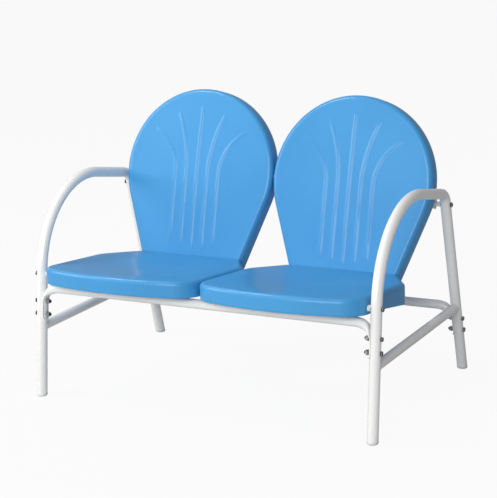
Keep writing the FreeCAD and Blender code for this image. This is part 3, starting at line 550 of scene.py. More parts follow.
def pressed_mesh(name, face, rim, rows, outward, count, edge_rows):
    """Closed sheet-metal mesh: a face grid, edge rings around it, and its inner skin."""
    outer = np.concatenate([face] + rows)
    faces = [quads(count + 1, count + 1, False)]
    size, length = len(face), len(rim)
    above = rim
    for k in range(len(rows)):
        here = size + k * length + np.arange(length)
        faces.append(np.stack([above, np.roll(above, -1), np.roll(here, -1), here], 1))
        above = here
    faces = np.concatenate(faces)
    mesh = bpy.data.meshes.new(name)
    mesh.from_pydata(outer.tolist(), [], faces.tolist())
    finish_mesh(mesh, merge=0.0)
    normals = np.zeros(len(outer) * 3)
    mesh.vertices.foreach_get("normal", normals)
    normals = normals.reshape(-1, 3)
    if np.sum(normals[:size] @ outward) < 0:
        faces, normals = faces[:, ::-1], -normals
    inner = outer - normals * SHEET
    total = len(outer)
    lip = np.stack([above, above + total, np.roll(above, -1) + total, np.roll(above, -1)], 1)
    skin = np.concatenate([faces, faces[:, ::-1] + total, lip])
    mesh.clear_geometry()
    mesh.from_pydata(np.concatenate([outer, inner]).tolist(), [], skin.tolist())
    finish_mesh(mesh, merge=0.0)
    mask = np.zeros(total * 2, np.float32)
    for k, value in edge_rows.items():
        start = size + k * length
        mask[start:start + length] = value
        mask[total + start:total + start + length] = value
    paint_edge(mesh, mask)
    return mesh


def corner_arc(before, corner, after, radius, step):
    """Points of the arc that rounds a corner between its two neighbours."""
    a, b = before - corner, after - corner
    a, b = a / np.linalg.norm(a), b / np.linalg.norm(b)
    half = math.acos(float(np.clip(a @ b, -1, 1))) / 2
    middle = corner + (a + b) / np.linalg.norm(a + b) * (radius / math.sin(half))
    run, sweep = radius / math.tan(half), math.pi - 2 * half
    p, q = corner + a * run - middle, corner + b * run - middle
    return [middle + (math.sin((1 - t) * sweep) * p + math.sin(t * sweep) * q) / math.sin(sweep)
            for t in np.linspace(0, 1, max(4, int(radius * sweep / step)))]


def rounded(corners, radii):
    """Closed outline through corners, each rounded to its own radius, as points."""
    corners = [np.array(c, float) for c in corners]
    points = []
    for k, radius in enumerate(radii):
        after = corners[(k + 1) % len(corners)]
        points += corner_arc(corners[k - 1], corners[k], after, radius, OUTLINE_STEP)
    return filled(points, OUTLINE_STEP)


def filled(points, step, closed=True):
    """The outline or path with points added along its long straight runs."""
    full = []
    for p, q in zip(points, points[1:] + points[:1] if closed else points[1:]):
        parts = max(1, int(np.linalg.norm(q - p) / step))
        full += [p + (q - p) * t / parts for t in range(parts)]
    return full if closed else full + points[-1:]


# %% [markdown]
# ## The fluted backs
#
# Each back is nearly a disc with straight sides that close in towards the seat. Five raised
# beads stiffen it; the middle one is straight and the others curl outwards like the ribs
# of a scallop. A bead's height depends only on how far a point is from the bead's middle
# line, so the press tool is written as a distance and a smooth swell. The face also has a
# low crown that stiffens the sheet.

# %% Shape and make the backs
BACK_CENTRE = 268 * MM
BACK_BOTTOM = -62 * MM
BACK_SIDE = math.radians(19.3)
BACK_EDGE = 15 * MM
BACK_RIM = 50 * MM
BACK_CORNER = 30 * MM
CURL_R, CURL_SWEEP = 2.6 * MM, math.radians(230)
BEAD_HALF = 6.2 * MM
BEAD_RISE = 2.5 * MM
BACK_CROWN = 5 * MM
BEAD_FADE_LOW, BEAD_FADE_HIGH, BEAD_STEP = 30 * MM, 45 * MM, 3 * MM
CROWN_DROP, CROWN_REACH = 30 * MM, np.array((235, 270)) * MM
FLUTE_TURN = 258 * MM
FLUTES = ((0, None, 16, 58), (38, 432, 24, 63), (77, 156, 34, 57))


def back_outline(inset):
    """Outline of a back, across and up its face, moved in by the inset."""
    radius = BACK_RADIUS - inset
    tangent = (radius * math.cos(BACK_SIDE), BACK_CENTRE - radius * math.sin(BACK_SIDE))
    bottom = BACK_BOTTOM + inset
    foot = tangent[0] - (tangent[1] - bottom) * math.tan(BACK_SIDE)
    corner_r = BACK_CORNER - inset
    arc = [np.array((radius * math.cos(a), BACK_CENTRE + radius * math.sin(a)))
           for a in np.linspace(-BACK_SIDE, math.pi + BACK_SIDE, 420)]
    lower = rounded([(tangent[0], tangent[1]), (-tangent[0], tangent[1]), (-foot, bottom),
                     (foot, bottom)], [SHARP, SHARP, corner_r, corner_r])
    lower = [p for p in lower if p[1] < tangent[1] - OUTLINE_STEP]
    return np.array(filled(arc + lower, OUTLINE_STEP))


def along_bead(points, x, fan, bottom, margin):
    """Distance from each point to the middle line of a bead, and how far along it is."""
    bottom, margin, x = bottom * MM, margin * MM, x * MM
    if fan is None:
        line = [np.array((x, t)) for t in
                np.linspace(bottom, BACK_CENTRE + BACK_RADIUS - margin, 120)]
    else:
        fan = fan * MM
        line = [np.array((x, t)) for t in np.linspace(bottom, FLUTE_TURN, 70)]
        near, a = BACK_RADIUS - margin, 0.0
        while True:
            p = np.array((x + fan * (1 - math.cos(a)), FLUTE_TURN + fan * math.sin(a)))
            if math.hypot(p[0], p[1] - BACK_CENTRE) > near and a > 0.2:
                break
            line.append(p)
            a += BEAD_STEP / fan
    line = np.array(line)
    best = np.full(len(points), 1e9)
    where = np.zeros(len(points))
    run = np.concatenate([[0], np.cumsum(np.linalg.norm(np.diff(line, axis=0), axis=1))])
    for k in range(len(line) - 1):
        a, d = line[k], line[k + 1] - line[k]
        t = np.clip(((points - a) @ d) / (d @ d), 0, 1)
        gap = np.linalg.norm(points - a - t[:, None] * d, axis=1)
        closer = gap < best
        best[closer] = gap[closer]
        where[closer] = run[k] + t[closer] * (run[k + 1] - run[k])
    return best, where, run[-1]


def bead_height(points):
    """How far the beads stand out of the face at each point."""
    height = np.zeros(len(points))
    for x, fan, bottom, margin in FLUTES:
        for side in ((1,) if fan is None else (1, -1)):
            gap, where, total = along_bead(points * (side, 1), x, fan, bottom, margin)
            swell = 0.5 + 0.5 * np.cos(math.pi * np.clip(gap / BEAD_HALF, 0, 1))
            fade = (np.clip(where / BEAD_FADE_LOW, 0, 1)
                    * np.clip((total - where) / BEAD_FADE_HIGH, 0, 1))
            height = np.maximum(height, BEAD_RISE * swell ** 0.8 * (0.30 + 0.70 * fade ** 0.7))
    return height


def face_crown(points):
    """Height of the low crown over the whole back."""
    s = np.linalg.norm((points - (0, BACK_CENTRE - CROWN_DROP)) / CROWN_REACH, axis=1)
    return BACK_CROWN * np.clip(1 - s * s, 0, 1) ** 1.5


def back_place(u, v, w):
    """Point of a back in the row frame: u across, v up the face, w behind the face."""
    return np.stack([SEAT_X + u, MEET_Y + v * math.sin(LEAN) + w * math.cos(LEAN),
                     MEET_Z + v * math.cos(LEAN) - w * math.sin(LEAN)], -1)


def edge_profile(radius, wall, curl):
    """Steps over a rolled edge, down a wall and round a curl, as (outwards, down) pairs."""
    steps = [(radius * math.sin(a), radius * (1 - math.cos(a)))
             for a in np.linspace(0, math.pi / 2, 8)[1:]]
    steps += [(radius, radius + (wall - curl - radius) * t) for t in (0.1, 0.9, 1.0)]
    steps += [(radius - curl * (1 - math.cos(a)), wall - curl + curl * math.sin(a))
              for a in np.linspace(0, CURL_SWEEP, 7)[1:]]
    return steps


def make_back():
    """Mesh of the right back."""
    count = 184
    flat, rim, normal = blank_grid(back_outline(BACK_EDGE), (0, BACK_CENTRE - 0.04), count)
    lift = -face_crown(flat) - bead_height(flat)
    face = back_place(flat[:, 0], flat[:, 1], lift)
    edge = flat[rim]
    rows = [back_place(edge[:, 0] + normal[:, 0] * out, edge[:, 1] + normal[:, 1] * out,
                       np.full(len(rim), drop))
            for out, drop in edge_profile(BACK_EDGE, BACK_RIM, CURL_R)]
    return pressed_mesh("right_back", face, rim, rows, (0, -1, 0), count,
                        {9: 0.25, 10: 0.45, 11: 0.55, 12: 0.55, 13: 0.4})


back_mesh = make_back()
new_piece("right_back", back_mesh, "shell_enamel", "right_back_shell")
new_piece("left_back", mirrored(back_mesh), "shell_enamel", "left_back_shell")

# %% [markdown]
# ## The seat pans
#
# A seat is wide and gently bowed in front, with rounded corners, and narrows at the rear to
# the width of the back. Its top slopes down to the rear and holds a round hollow. The skirt
# is deepest at the rear, where it meets the lower edge of the back; the wall there leans with
# the back, so points that would pass the back's plane are brought onto it.

# %% Shape and make the seats
SEAT_EDGE = 14 * MM
FRONT_BOW = 700 * MM
SEAT_CORNER = 80 * MM
SEAT_TAPER = math.radians(31)
TAPER_BEND = 100 * MM
DISH_R, DISH_DEEP, DISH_BACK = 190 * MM, 9 * MM, 262 * MM
REAR_CORNER = 20 * MM
SKIRT_DEEP, SKIRT_BREAK_Y = 51 * MM, SEAT_FRONT_Y + 152 * MM
SKIRT_SLOPE, SKIRT_REAR_SLOPE = (math.tan(math.radians(a)) for a in (4.6, 10.5))


def back_half_width(rise):
    """Half width of a back near the seat, where its sides are straight."""
    tangent = BACK_CENTRE - BACK_RADIUS * math.sin(BACK_SIDE)
    return BACK_RADIUS * math.cos(BACK_SIDE) - (tangent - rise) * math.tan(BACK_SIDE)


def seat_outline(inset):
    """Plan outline of a seat about its own middle, moved in by the inset."""
    bow_y = SEAT_FRONT_Y + FRONT_BOW
    x = SEAT_HALF - SEAT_CORNER
    corner_y = bow_y - math.sqrt((FRONT_BOW - SEAT_CORNER) ** 2 - x * x)
    swing = math.atan2(x, bow_y - corner_y)
    front = [np.array(((FRONT_BOW - inset) * math.sin(a), bow_y - (FRONT_BOW - inset) * math.cos(a)))
             for a in np.linspace(-swing, swing, 160)]
    turn = [np.array((x + (SEAT_CORNER - inset) * math.sin(a),
                      corner_y - (SEAT_CORNER - inset) * math.cos(a)))
            for a in np.linspace(swing, math.pi / 2, 60)[1:]]
    rear_half = back_half_width(0)
    turn_x = SEAT_HALF - TAPER_BEND
    run = (turn_x + TAPER_BEND * math.cos(SEAT_TAPER) - rear_half) / math.tan(SEAT_TAPER)
    turn_y = MEET_Y - run - TAPER_BEND * math.sin(SEAT_TAPER)
    taper = [np.array((turn_x + (TAPER_BEND - inset) * math.cos(a),
                       turn_y + (TAPER_BEND - inset) * math.sin(a)))
             for a in np.linspace(0, SEAT_TAPER, 40)]
    slope = np.array((-math.sin(SEAT_TAPER), math.cos(SEAT_TAPER)))
    corner = taper[-1] + slope * ((MEET_Y - inset - taper[-1][1]) / slope[1])
    ahead = taper[-1][1] - 0.1
    rear = rounded([tuple(taper[-1]), tuple(corner), (0, MEET_Y - inset), (0, ahead)],
                   [SHARP, REAR_CORNER - inset, SHARP, SHARP])
    rear = [p for p in rear if p[1] > taper[-1][1] + 1e-4 and p[0] > 1e-4]
    half = turn + taper + rear
    left = [p * (-1, 1) for p in reversed(half)]
    return np.array(filled(front + half + left, OUTLINE_STEP))


def skirt_z(y):
    """Lower edge of the skirt at depth y: two slopes, the rear one steeper."""
    past = y - SKIRT_BREAK_Y
    z = SEAT_FRONT_Z - SKIRT_DEEP - (SKIRT_BREAK_Y - SEAT_FRONT_Y) * SKIRT_SLOPE
    return z - past * np.where(past < 0, SKIRT_SLOPE, SKIRT_REAR_SLOPE)


def seat_place(x, y, z):
    """Point of the right seat, kept in front of the plane of the back."""
    y = np.minimum(y, MEET_Y + (z - MEET_Z) * math.tan(LEAN))
    return np.stack([SEAT_X + x, y, z], -1)


def make_seat():
    """Mesh of the right seat."""
    count = 112
    centre = (0, SEAT_FRONT_Y + 240 * MM)
    flat, rim, normal = blank_grid(seat_outline(SEAT_EDGE), centre, count)
    gap = np.linalg.norm(flat - (0, SEAT_FRONT_Y + DISH_BACK), axis=1) / (DISH_R * 1.12)
    hollow = DISH_DEEP * np.clip(1 - gap * gap, 0, 1) ** 1.4
    face = seat_place(flat[:, 0], flat[:, 1], seat_top_z(flat[:, 1]) - hollow)
    edge = flat[rim]
    rows = []
    for out, drop in [(SEAT_EDGE * math.sin(a), SEAT_EDGE * (1 - math.cos(a)))
                      for a in np.linspace(0, math.pi / 2, 10)[1:]]:
        p = edge + normal * out
        rows.append(seat_place(p[:, 0], p[:, 1], seat_top_z(p[:, 1]) - drop))
    wall = edge + normal * SEAT_EDGE
    high = seat_top_z(wall[:, 1]) - SEAT_EDGE
    low = skirt_z(wall[:, 1]) + CURL_R
    for t in np.linspace(0, 1, 7)[1:]:
        rows.append(seat_place(wall[:, 0], wall[:, 1], high + (low - high) * t))
    for a in np.linspace(0, CURL_SWEEP, 10)[1:]:
        p = wall - normal * CURL_R * (1 - math.cos(a))
        rows.append(seat_place(p[:, 0], p[:, 1], low - CURL_R * math.sin(a)))
    return pressed_mesh("right_seat", face, rim, rows, (0, 0, 1), count,
                        {14: 0.25, 15: 0.5, 16: 0.55, 17: 0.5, 18: 0.4})


seat_mesh = make_seat()
new_piece("right_seat", seat_mesh, "shell_enamel", "right_seat_shell")
new_piece("left_seat", mirrored(seat_mesh), "shell_enamel", "left_seat_shell")

# %% [markdown]
# ## Geometry Nodes for tubes, welds and hardware
#
# Three rules repeat all over the bench: a round section follows a path, small overlapping
# ripples follow a weld, and the same bolt, nut or washer sits at many places. Each rule is a
# Geometry Nodes tree with named inputs. A helper runs a tree on a mesh of points or wires and
# keeps the result as a plain mesh, so that no modifier is left on the finished piece.

# %% Build the Geometry Nodes trees
def new_tree(name, inputs):
    """A geometry tree with a geometry input and output and the named inputs."""
    tree = bpy.data.node_groups.new(name, "GeometryNodeTree")
    names = {}
    for label, kind in (("Geometry", "Geometry"), *inputs, ("Finish", "Material")):
        names[label] = tree.interface.new_socket(
            label, in_out="INPUT", socket_type="NodeSocket" + kind).identifier
    tree.interface.new_socket("Geometry", in_out="OUTPUT", socket_type="NodeSocketGeometry")
    return tree, add_node(tree, "NodeGroupInput").outputs, names


def chain_end(tree, given, geometry, smooth):
    """Realises the geometry, gives it the finish and leads it to the output."""
    if smooth:
        geometry = add_node(tree, "GeometryNodeSetShadeSmooth", {"Geometry": geometry}).outputs[0]
    real = add_node(tree, "GeometryNodeRealizeInstances", {"Geometry": geometry})
    coat = add_node(tree, "GeometryNodeSetMaterial", {
        "Geometry": real.outputs[0], "Material": given["Finish"]})
    add_node(tree, "NodeGroupOutput", {"Geometry": coat.outputs[0]})


def tube_tree():
    """A round bar along a wire."""
    tree, given, names = new_tree("tube_along_path", [("Radius", "Float"), ("Sides", "Int")])
    wire = add_node(tree, "GeometryNodeMeshToCurve", {"Mesh": given["Geometry"]})
    ring = add_node(tree, "GeometryNodeCurvePrimitiveCircle", {
        "Radius": given["Radius"], "Resolution": given["Sides"]})
    sweep = add_node(tree, "GeometryNodeCurveToMesh", {
        "Curve": wire.outputs[0], "Profile Curve": ring.outputs[0], "Fill Caps": True})
    chain_end(tree, given, sweep.outputs[0], smooth=True)
    return tree, names


def aligned(tree, vector, axis):
    """A rotation that turns one axis to a vector."""
    return add_node(tree, "FunctionNodeAlignRotationToVector", {"Vector": vector},
                    axis=axis).outputs[0]


def weld_tree():
    """Overlapping ripples along a closed wire."""
    tree, given, names = new_tree("weld_ripples", [
        ("Pitch", "Float"), ("Bead", "Float"), ("Seed", "Int")])
    wire = add_node(tree, "GeometryNodeMeshToCurve", {"Mesh": given["Geometry"]})
    even = add_node(tree, "GeometryNodeResampleCurve", {
        "Curve": wire.outputs[0], "Length": given["Pitch"]}, mode="LENGTH")
    drop = add_node(tree, "GeometryNodeMeshUVSphere", {
        "Segments": 10, "Rings": 6, "Radius": given["Bead"]})
    along = add_node(tree, "GeometryNodeInputTangent")
    vary = add_node(tree, "FunctionNodeRandomValue", data_type="FLOAT_VECTOR")
    vary.inputs[0].default_value = (0.50, 0.82, 0.82)
    vary.inputs[1].default_value = (0.62, 1.08, 1.08)
    tree.links.new(given["Seed"], vary.inputs["Seed"])
    place = add_node(tree, "GeometryNodeInstanceOnPoints", {
        "Points": even.outputs[0], "Instance": drop.outputs["Mesh"],
        "Rotation": aligned(tree, along.outputs[0], "X"), "Scale": vary.outputs[0]})
    chain_end(tree, given, place.outputs[0], smooth=True)
    return tree, names


def hardware_tree():
    """One part at every point, its Z along the point's axis, turned by a random angle."""
    tree, given, names = new_tree("hardware_at_points", [("Part", "Object"), ("Seed", "Int")])
    axis = add_node(tree, "GeometryNodeInputNamedAttribute", {"Name": "axis"},
                    data_type="FLOAT_VECTOR")
    part = add_node(tree, "GeometryNodeObjectInfo", {"Object": given["Part"]})
    turn = add_node(tree, "FunctionNodeRandomValue", {
        2: 0.0, 3: 2 * math.pi, "Seed": given["Seed"]})
    euler = add_node(tree, "ShaderNodeCombineXYZ", {"Z": turn.outputs[1]})
    spin = add_node(tree, "FunctionNodeEulerToRotation", {0: euler.outputs[0]})
    both = add_node(tree, "FunctionNodeRotateRotation", {
        "Rotation": aligned(tree, axis.outputs["Attribute"], "Z"),
        "Rotate By": spin.outputs[0]}, rotation_space="LOCAL")
    place = add_node(tree, "GeometryNodeInstanceOnPoints", {
        "Points": given["Geometry"], "Instance": part.outputs["Geometry"],
        "Rotation": both.outputs[0]})
    chain_end(tree, given, place.outputs[0], smooth=False)
    return tree, names


def run_tree(name, points, edges, made, values, axes=None):
    """Runs a tree on points and wires and returns the result as a plain mesh."""
    tree, names = made
    mesh = bpy.data.meshes.new(name + "_guide")
    mesh.from_pydata([tuple(map(float, p)) for p in points], edges, [])
    if axes is not None:
        mesh.attributes.new("axis", "FLOAT_VECTOR", "POINT").data.foreach_set(
            "vector", np.asarray(axes, np.float32).ravel())
    guide = bpy.data.objects.new(name + "_guide", mesh)
    bpy.context.scene.collection.objects.link(guide)
    modifier = guide.modifiers.new("rule", "NODES")
    modifier.node_group = tree
    for label, value in values.items():
        modifier[names[label]] = value
    graph = bpy.context.evaluated_depsgraph_get()
    result = bpy.data.meshes.new_from_object(
        guide.evaluated_get(graph), preserve_all_data_layers=True, depsgraph=graph)
    result.name = name
    guide.modifiers.remove(modifier)
    bpy.data.objects.remove(guide)
    return result


TUBE, WELD, HARDWARE = tube_tree(), weld_tree(), hardware_tree()
print("trees:", [t[0].name for t in (TUBE, WELD, HARDWARE)])

# %% [markdown]
# ## Arm frames
#
# Each side is one long tube: up the front leg, over a wide sweep, back along the arm, and down
# the rear leg through a tight bend. A wide bend keeps its round section, but the tight one is
# past what a plain bender does cleanly: the tube goes oval and its skin puckers. The path
# is lines and arcs; after the sweep, points near the tight bend are moved to show that.

# %% Bend the arm frames
def bent_path(corners, radii, x):
    """Points along straight runs joined by arcs, in the plane at x."""
    flat = [np.array(c, float) for c in corners]
    points = flat[:1]
    for before, corner, after, radius in zip(flat, flat[1:], flat[2:], radii):
        points += corner_arc(before, corner, after, radius, 3 * MM)
    return [(x, *p) for p in filled(points + flat[-1:], 12 * MM, closed=False)]


FOOT_TOP = 5.5 * MM
TIGHT_BEND, TIGHT_INSET, TIGHT_REACH = 42 * MM, 11 * MM, 24 * MM
OVAL, OVAL_WIDER = 0.10, 0.04
WRINKLE_PITCH, OUTER_DENT, INNER_DENT = 11 * MM, 0.9 * MM, 0.6 * MM
arm_path = bent_path([(front_leg_y(FOOT_TOP), FOOT_TOP), KNEE, HEEL,
                      (rear_leg_y(FOOT_TOP), FOOT_TOP)], [277 * MM, TIGHT_BEND], SIDE_X)
chain = [(k, k + 1) for k in range(len(arm_path) - 1)]
arm_mesh = run_tree("right_arm", arm_path, chain, TUBE,
                    {"Radius": TUBE_R, "Sides": 40, "Finish": FINISH["tube_enamel"]})


def pucker(mesh):
    """Ovals the tight bend and wrinkles its skin; paints the proud folds as rubbed."""
    toward = np.array((0, -0.62, -0.78))
    bend = np.array((SIDE_X, *HEEL)) + toward * TIGHT_INSET
    co = np.zeros(len(mesh.vertices) * 3)
    mesh.vertices.foreach_get("co", co)
    co = co.reshape(-1, 3)
    path = np.array(arm_path)
    nearest = np.linalg.norm(co[:, None, :] - path[None], axis=2).argmin(1)
    spine = path[nearest]
    run = np.cumsum(np.r_[0, np.linalg.norm(np.diff(path, axis=0), axis=1)])[nearest]
    near = np.exp(-(np.linalg.norm(spine - bend, axis=1) / TIGHT_REACH) ** 2)
    ripple = np.cos((run - run[near.argmax()]) * 2 * math.pi / WRINKLE_PITCH)
    radial = co - spine
    outside = -(radial @ toward) / TUBE_R
    dent = near * np.clip(outside, 0, 1) ** 2 * OUTER_DENT * (1 + ripple)
    inside = near * np.clip(-outside, 0, 1) ** 2 * INNER_DENT * ripple
    radial *= (1 - OVAL * near * np.abs(outside) - (dent + inside) / TUBE_R)[:, None]
    radial[:, 0] *= 1 + OVAL_WIDER * near
    mesh.vertices.foreach_set("co", (spine + radial).ravel())
    paint_edge(mesh, (near * np.clip(outside, 0, 1) * 0.25 * (1 - ripple)).astype(np.float32))
    mesh.update()


pucker(arm_mesh)
new_piece("right_arm", arm_mesh, "tube_enamel", "right_arm_frame")
new_piece("left_arm", mirrored(arm_mesh), "tube_enamel", "left_arm_frame")

# %% [markdown]
# ## Side stretchers and their welds
#
# A shorter tube ties the legs of each side, level with the ground. Its ends are shaped to
# the legs and welded all round, and the weld's ripples still show under the coat. The weld
# follows the curve where the two round surfaces meet, which is worked out from their radii.

# %% Make the stretchers and weld ripples
STRETCHER_Z = 214 * MM
INSIDE_LEG = 12 * MM
WELD_POINTS = 72
bar = [(SIDE_X, y, STRETCHER_Z) for y in np.linspace(
    front_leg_y(STRETCHER_Z) + INSIDE_LEG, rear_leg_y(STRETCHER_Z) - INSIDE_LEG, 24)]
stretcher_mesh = run_tree("right_stretcher", bar, list(zip(range(23), range(1, 24))), TUBE,
                          {"Radius": RAIL_R, "Sides": 36, "Finish": FINISH["tube_enamel"]})
new_piece("right_stretcher", stretcher_mesh, "tube_enamel", "right_side_stretcher")
new_piece("left_stretcher", mirrored(stretcher_mesh), "tube_enamel", "left_side_stretcher")


def saddle(leg_y, side):
    """Closed curve where the stretcher meets a leg; side is +1 behind it, -1 in front."""
    stretch = math.hypot(1, leg_y(1.0) - leg_y(0.0))
    points = []
    for a in np.linspace(0, 2 * math.pi, WELD_POINTS, endpoint=False):
        dx, dz = RAIL_R * math.cos(a), RAIL_R * math.sin(a)
        depth = math.sqrt(TUBE_R ** 2 - dx * dx) * stretch
        points.append((SIDE_X + dx, leg_y(STRETCHER_Z + dz) + side * depth, STRETCHER_Z + dz))
    return points


weld_points, weld_edges = [], []
for leg_y, side in ((front_leg_y, 1), (rear_leg_y, -1)):
    start = len(weld_points)
    weld_points += saddle(leg_y, side)
    weld_edges += [(start + k, start + (k + 1) % WELD_POINTS) for k in range(WELD_POINTS)]
weld_mesh = run_tree("right_welds", weld_points, weld_edges, WELD,
                     {"Pitch": 1.9 * MM, "Bead": 2.4 * MM, "Seed": 7,
                      "Finish": FINISH["tube_enamel"]})
new_piece("right_welds", weld_mesh, "tube_enamel")
new_piece("left_welds", mirrored(weld_mesh), "tube_enamel")

# %% [markdown]
# ## Cross rails
#
# The two rails that join the sides are tubes whose ends are turned down, squeezed flat between
# dies and cupped, so that they hug the legs and take two bolts each. The section goes from a
# circle to a strip with half round edges, bent about the leg: one formula draws every step.

# %% Squeeze the cross rails
TANG_T, TANG_HALF = 4 * MM, 17.5 * MM
BEND_SPAN, BEND_DROP = 46 * MM, 32 * MM
BOLT_DROPS = (42 * MM, 82 * MM)
TANG_END = 98 * MM
TANG_CORNER = 9 * MM
PRESS_FROM, CUP_FROM = 0.3, 0.72
CUP_AT_BEND, CUP_RUN = 0.45, 12 * MM
INNER_X = SIDE_X - TUBE_R
OUTER_X = SIDE_X + TUBE_R
FRONT_RAIL_Z, REAR_RAIL_Z = 335 * MM, 216 * MM


def leg_down(leg_y):
    """Unit vector down a leg."""
    return np.array(Vector((0, leg_y(0.0) - leg_y(1.0), -1)).normalized())


def eased(value, start, end):
    """Smooth rise from 0 at start to 1 at end."""
    t = min(1.0, max(0.0, (value - start) / (end - start)))
    return t * t * (3 - 2 * t)


def section(centre, direction, across, thick, half, cup, sides=48):
    """Ring of points: a circle that is pressed into a strip and cupped round the leg."""
    toward = np.cross(direction, across)
    curve = max(cup, 1e-4) / (TUBE_R + TANG_T / 2)
    ring = []
    for k in range(sides):
        a = 2 * math.pi * (k + 0.5) / sides
        u = math.cos(a) * thick / 2 + math.copysign(half - thick / 2, math.cos(a))
        radius = 1 / curve - math.sin(a) * thick / 2
        ring.append(centre + toward * (1 / curve - radius * math.cos(u * curve))
                    + across * radius * math.sin(u * curve))
    return ring


def rail_mesh(name, z, leg_y):
    """Mesh of a whole cross rail."""
    down = leg_down(leg_y)
    across = np.cross((1, 0, 0), down)
    across /= np.linalg.norm(across)
    axis = np.array((0, leg_y(z), z))
    flat_x, bend_x = INNER_X - TANG_T / 2, INNER_X - BEND_SPAN
    half = [section(axis + (x, 0, 0), np.array((1.0, 0, 0)), across, 2 * RAIL_R, RAIL_R, 0)
            for x in np.linspace(0, bend_x, 30)]
    for t in np.linspace(0, 1, 25)[1:]:
        a = t * math.pi / 2
        along, fall = (flat_x - bend_x) * math.cos(a), BEND_DROP * math.sin(a)
        centre = axis + ((bend_x + (flat_x - bend_x) * math.sin(a)), 0, 0) + down * (
            BEND_DROP * (1 - math.cos(a)))
        direction = np.array((along, 0, 0)) + down * fall
        press = eased(t, PRESS_FROM, 1)
        half.append(section(centre, direction / np.linalg.norm(direction), across,
                            2 * RAIL_R + (TANG_T - 2 * RAIL_R) * press,
                            RAIL_R + (TANG_HALF - RAIL_R) * press,
                            CUP_AT_BEND * eased(t, CUP_FROM, 1)))
    runs = list(np.linspace(BEND_DROP, TANG_END - TANG_CORNER, 14)[1:])
    runs += [TANG_END - TANG_CORNER * (1 - math.sin(a)) for a in np.linspace(0, math.pi / 2, 7)[1:]]
    for run in runs:
        past = max(0.0, run - (TANG_END - TANG_CORNER))
        wide = TANG_HALF - TANG_CORNER + math.sqrt(max(TANG_CORNER ** 2 - past ** 2, 0))
        cup = CUP_AT_BEND + (1 - CUP_AT_BEND) * eased(run, BEND_DROP, BEND_DROP + CUP_RUN)
        half.append(section(np.array((flat_x, 0, 0)) + axis + down * run, down, across, TANG_T,
                            wide, cup))
    other = [[p * (-1, 1, 1) for p in ring] for ring in reversed(half[1:])]
    rows = other + half
    sides = len(rows[0])
    last = (len(rows) - 1) * sides
    caps = [list(range(sides)), [last + k for k in reversed(range(sides))]]
    return finish_mesh(ring_mesh(name, rows, caps), sharp=math.radians(50))


new_piece("front_cross_rail", rail_mesh("front_cross_rail", FRONT_RAIL_Z, front_leg_y),
          "tube_enamel", "front_rail")
new_piece("rear_cross_rail", rail_mesh("rear_cross_rail", REAR_RAIL_Z, rear_leg_y),
          "tube_enamel", "rear_rail")

# %% [markdown]
# ## Feet
#
# A moulded plug closes each leg and keeps bare steel off the patio. What shows is a short
# collar with a softly rounded base. Legs lean, and the floor is level, so the rings of the
# collar are level ellipses whose middles follow the leg.

# %% Mould the feet
def foot_mesh(name, leg_y):
    """Closed mesh of one foot on the right side."""
    stretch = math.hypot(1, leg_y(1.0) - leg_y(0.0))
    profile = [(0.0, 3.0), (6.0, 3.0), (6.6, 2.0), (7.0, 0.4), (7.4, 0.0), (12.6, 0.0),
               (13.9, 0.25), (15.0, 0.95), (15.8, 2.0), (16.3, 3.4), (16.45, 5.2), (16.45, 7.4),
               (16.3, 8.0), (15.9, 8.3), (14.6, 8.4), (14.3, 16.0), (13.8, 17.0), (0.0, 17.0)]
    rings = [[(SIDE_X + radius * MM * math.cos(a),
               leg_y(z * MM) + radius * MM * stretch * math.sin(a), z * MM)
              for a in np.linspace(0, 2 * math.pi, 48, endpoint=False)] for radius, z in profile]
    mesh = finish_mesh(ring_mesh(name, rings), sharp=math.radians(55))
    paint_edge(mesh, [1.0 if 0.1 * MM < v.co.z < 2.2 * MM else 0.0 for v in mesh.vertices])
    return mesh


for end, leg_y in (("front", front_leg_y), ("rear", rear_leg_y)):
    mesh = foot_mesh(f"right_{end}_plug", leg_y)
    new_piece(f"right_{end}_plug", mesh, "foot_plastic", f"right_{end}_foot")
    new_piece(f"left_{end}_plug", mirrored(mesh), "foot_plastic", f"left_{end}_foot")

# %% [markdown]
# ## Bolts, nuts, washers and spacers
#
# Real hexagon heads are not plain prisms: a cone cuts their corners, and thread shows past
# the nut. One bolt, one nut, one washer and one spacer are turned as meshes on the Z axis,
# with their own lengths, and the hardware tree sets copies at every place, each turned by a
# different angle as a wrench leaves them.

# %% Turn the hardware
# Shares of the bolt's diameter, and how steeply the corners are cut.
HEX_FLATS, HEAD_HIGH, NUT_HIGH, THREAD_PITCH, THREAD_LONG = 1.625, 0.6625, 0.8125, 0.156, 1.9
CHAMFER = 0.58


def turned(name, rows, sides, closed=False, edges=()):
    """Mesh of rings on the Z axis; each row is (radius, height), or gives it by direction."""
    rings = []
    for row in rows:
        turns = [2 * math.pi * j / sides for j in range(sides)]
        spots = [row(a) if callable(row) else row for a in turns]
        rings.append([(radius * math.cos(a), radius * math.sin(a), z)
                      for a, (radius, z) in zip(turns, spots)])
    last = (len(rows) - 1) * sides
    joins = [[last + j, last + (j + 1) % sides, (j + 1) % sides, j] for j in range(sides)]
    mesh = ring_mesh(name, rings, joins if closed else ())
    paint_edge(mesh, [0.9 if k in edges else 0.0 for k in range(len(rows)) for _ in range(sides)])
    return finish_mesh(mesh, sharp=math.radians(28))


def hexagon(across_flats):
    """Radius of a hexagon by direction."""
    return lambda a: across_flats / 2 / math.cos((a + math.pi / 6) % (math.pi / 3) - math.pi / 6)


